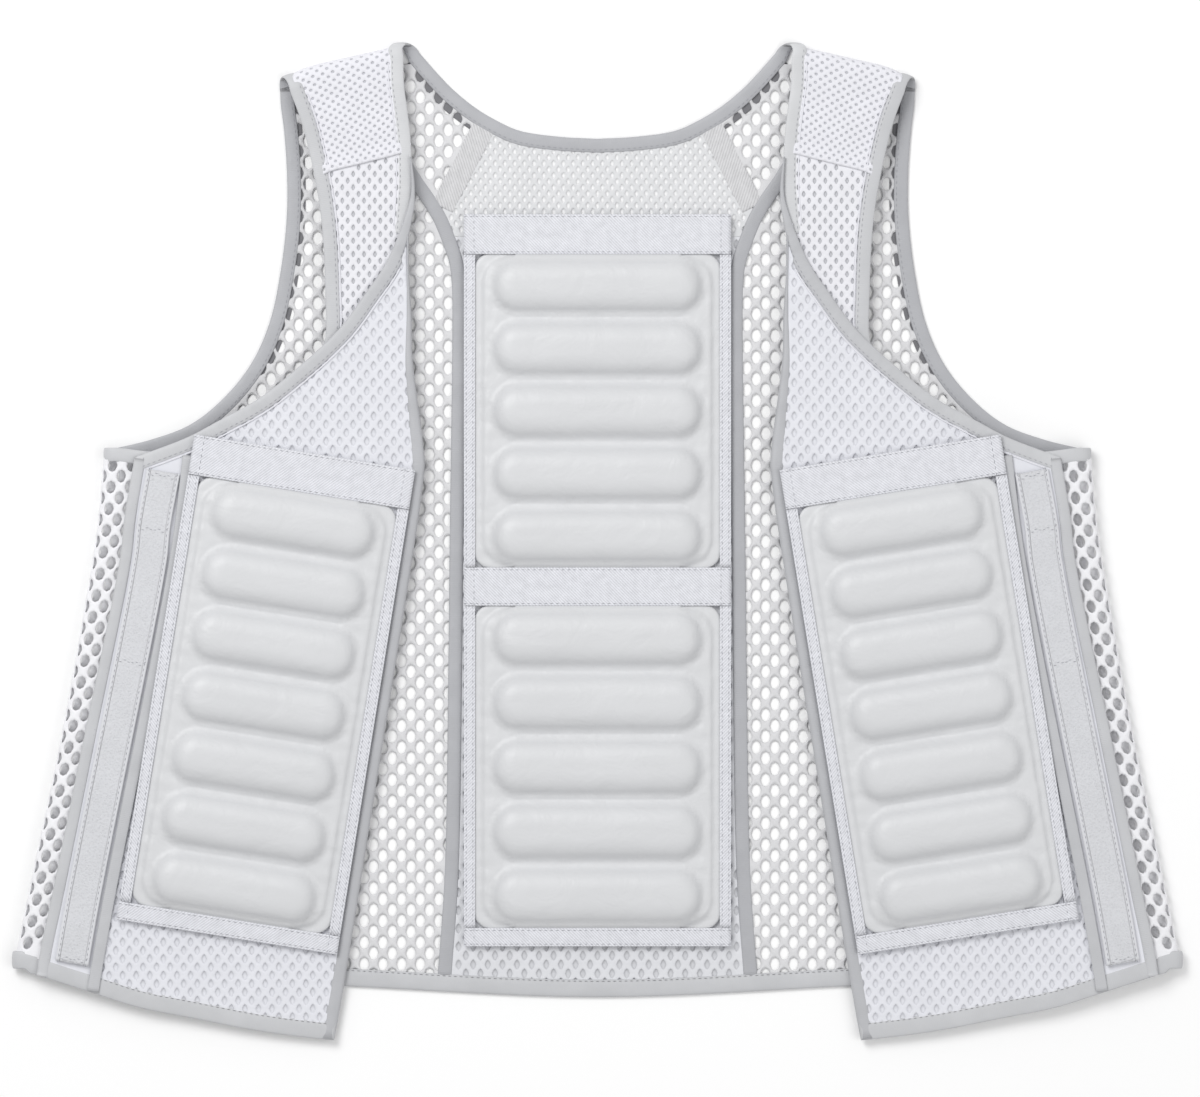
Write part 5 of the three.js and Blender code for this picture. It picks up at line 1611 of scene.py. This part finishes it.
class VEST_OT_stage(bpy.types.Operator):
    """Sets the white table, the soft studio light and the camera straight above"""

    bl_idname = "vest.stage"
    bl_label = "Stage"

    def execute(self, context):
        half, level = 6.0, -0.0004
        mesh = bpy.data.meshes.new("floor")
        mesh.from_pydata([(-half, -half, level), (half, -half, level), (half, half, level),
                          (-half, half, level)], [], [(0, 1, 2, 3)])
        mesh.materials.append(finish_of("floor"))
        floor = bpy.data.objects.new("floor", mesh)
        context.collection.objects.link(floor)

        world = bpy.data.worlds.new("studio")
        context.scene.world = world
        world.use_nodes = True
        background = world.node_tree.nodes["Background"]
        background.inputs["Color"].default_value = (1.0, 1.0, 1.0, 1)
        background.inputs["Strength"].default_value = 0.55
        self.lamp("key_light", (-1.1, 1.3, 2.2), 1.4, 42)
        self.lamp("fill_light", (1.6, -0.6, 2.0), 1.8, 14)

        lens = bpy.data.cameras.new("camera")
        camera = bpy.data.objects.new("camera", lens)
        context.collection.objects.link(camera)
        context.scene.camera = camera
        distance = 5.0
        frame_width = 0.720
        lens.sensor_width = 36
        lens.lens = lens.sensor_width * distance / frame_width
        lens.clip_end = 50
        camera.location = (0.0015, -0.0042, distance)
        camera.rotation_euler = (0, 0, 0)
        context.scene.view_settings.view_transform = "Standard"
        return {"FINISHED"}

    def lamp(self, name, place, size, power):
        light = bpy.data.lights.new(name, "AREA")
        light.shape = "SQUARE"
        light.size = size
        light.energy = power
        lamp = bpy.data.objects.new(name, light)
        bpy.context.collection.objects.link(lamp)
        lamp.location = place
        direction = -lamp.location
        lamp.rotation_euler = direction.to_track_quat("-Z", "Y").to_euler()


STEPS = (VEST_OT_stage, VEST_OT_back, VEST_OT_front, VEST_OT_bindings, VEST_OT_pockets, VEST_OT_packs,
         VEST_OT_hook, VEST_OT_sewing)


class VEST_PT_panel(bpy.types.Panel):
    """Sizes, colours and making of the vest"""

    bl_idname = "VEST_PT_panel"
    bl_label = "Cooling vest"
    bl_space_type = "VIEW_3D"
    bl_region_type = "UI"
    bl_category = "Vest"

    def draw(self, context):
        for group in (context.scene.vest_sizes, context.scene.vest_colours):
            box = self.layout.box()
            for name in group.bl_rna.properties.keys():
                if name not in ("rna_type", "name"):
                    box.prop(group, name)
        for step in STEPS:
            self.layout.operator(step.bl_idname)


CLASSES = (VestSizes, VestColours, *STEPS, VEST_PT_panel)


def register():
    for item in CLASSES:
        bpy.utils.register_class(item)
    bpy.types.Scene.vest_sizes = PointerProperty(type=VestSizes)
    bpy.types.Scene.vest_colours = PointerProperty(type=VestColours)


def unregister():
    del bpy.types.Scene.vest_colours
    del bpy.types.Scene.vest_sizes
    for item in reversed(CLASSES):
        bpy.utils.unregister_class(item)


def main():
    register()
    bpy.ops.vest.stage()
    bpy.ops.vest.back_panels()
    bpy.ops.vest.front_panels()
    bpy.ops.vest.bindings()
    bpy.ops.vest.pocket_tapes()
    bpy.ops.vest.gel_packs()
    bpy.ops.vest.hook_strips()
    bpy.ops.vest.sewing()


if __name__ == "__main__":
    main()
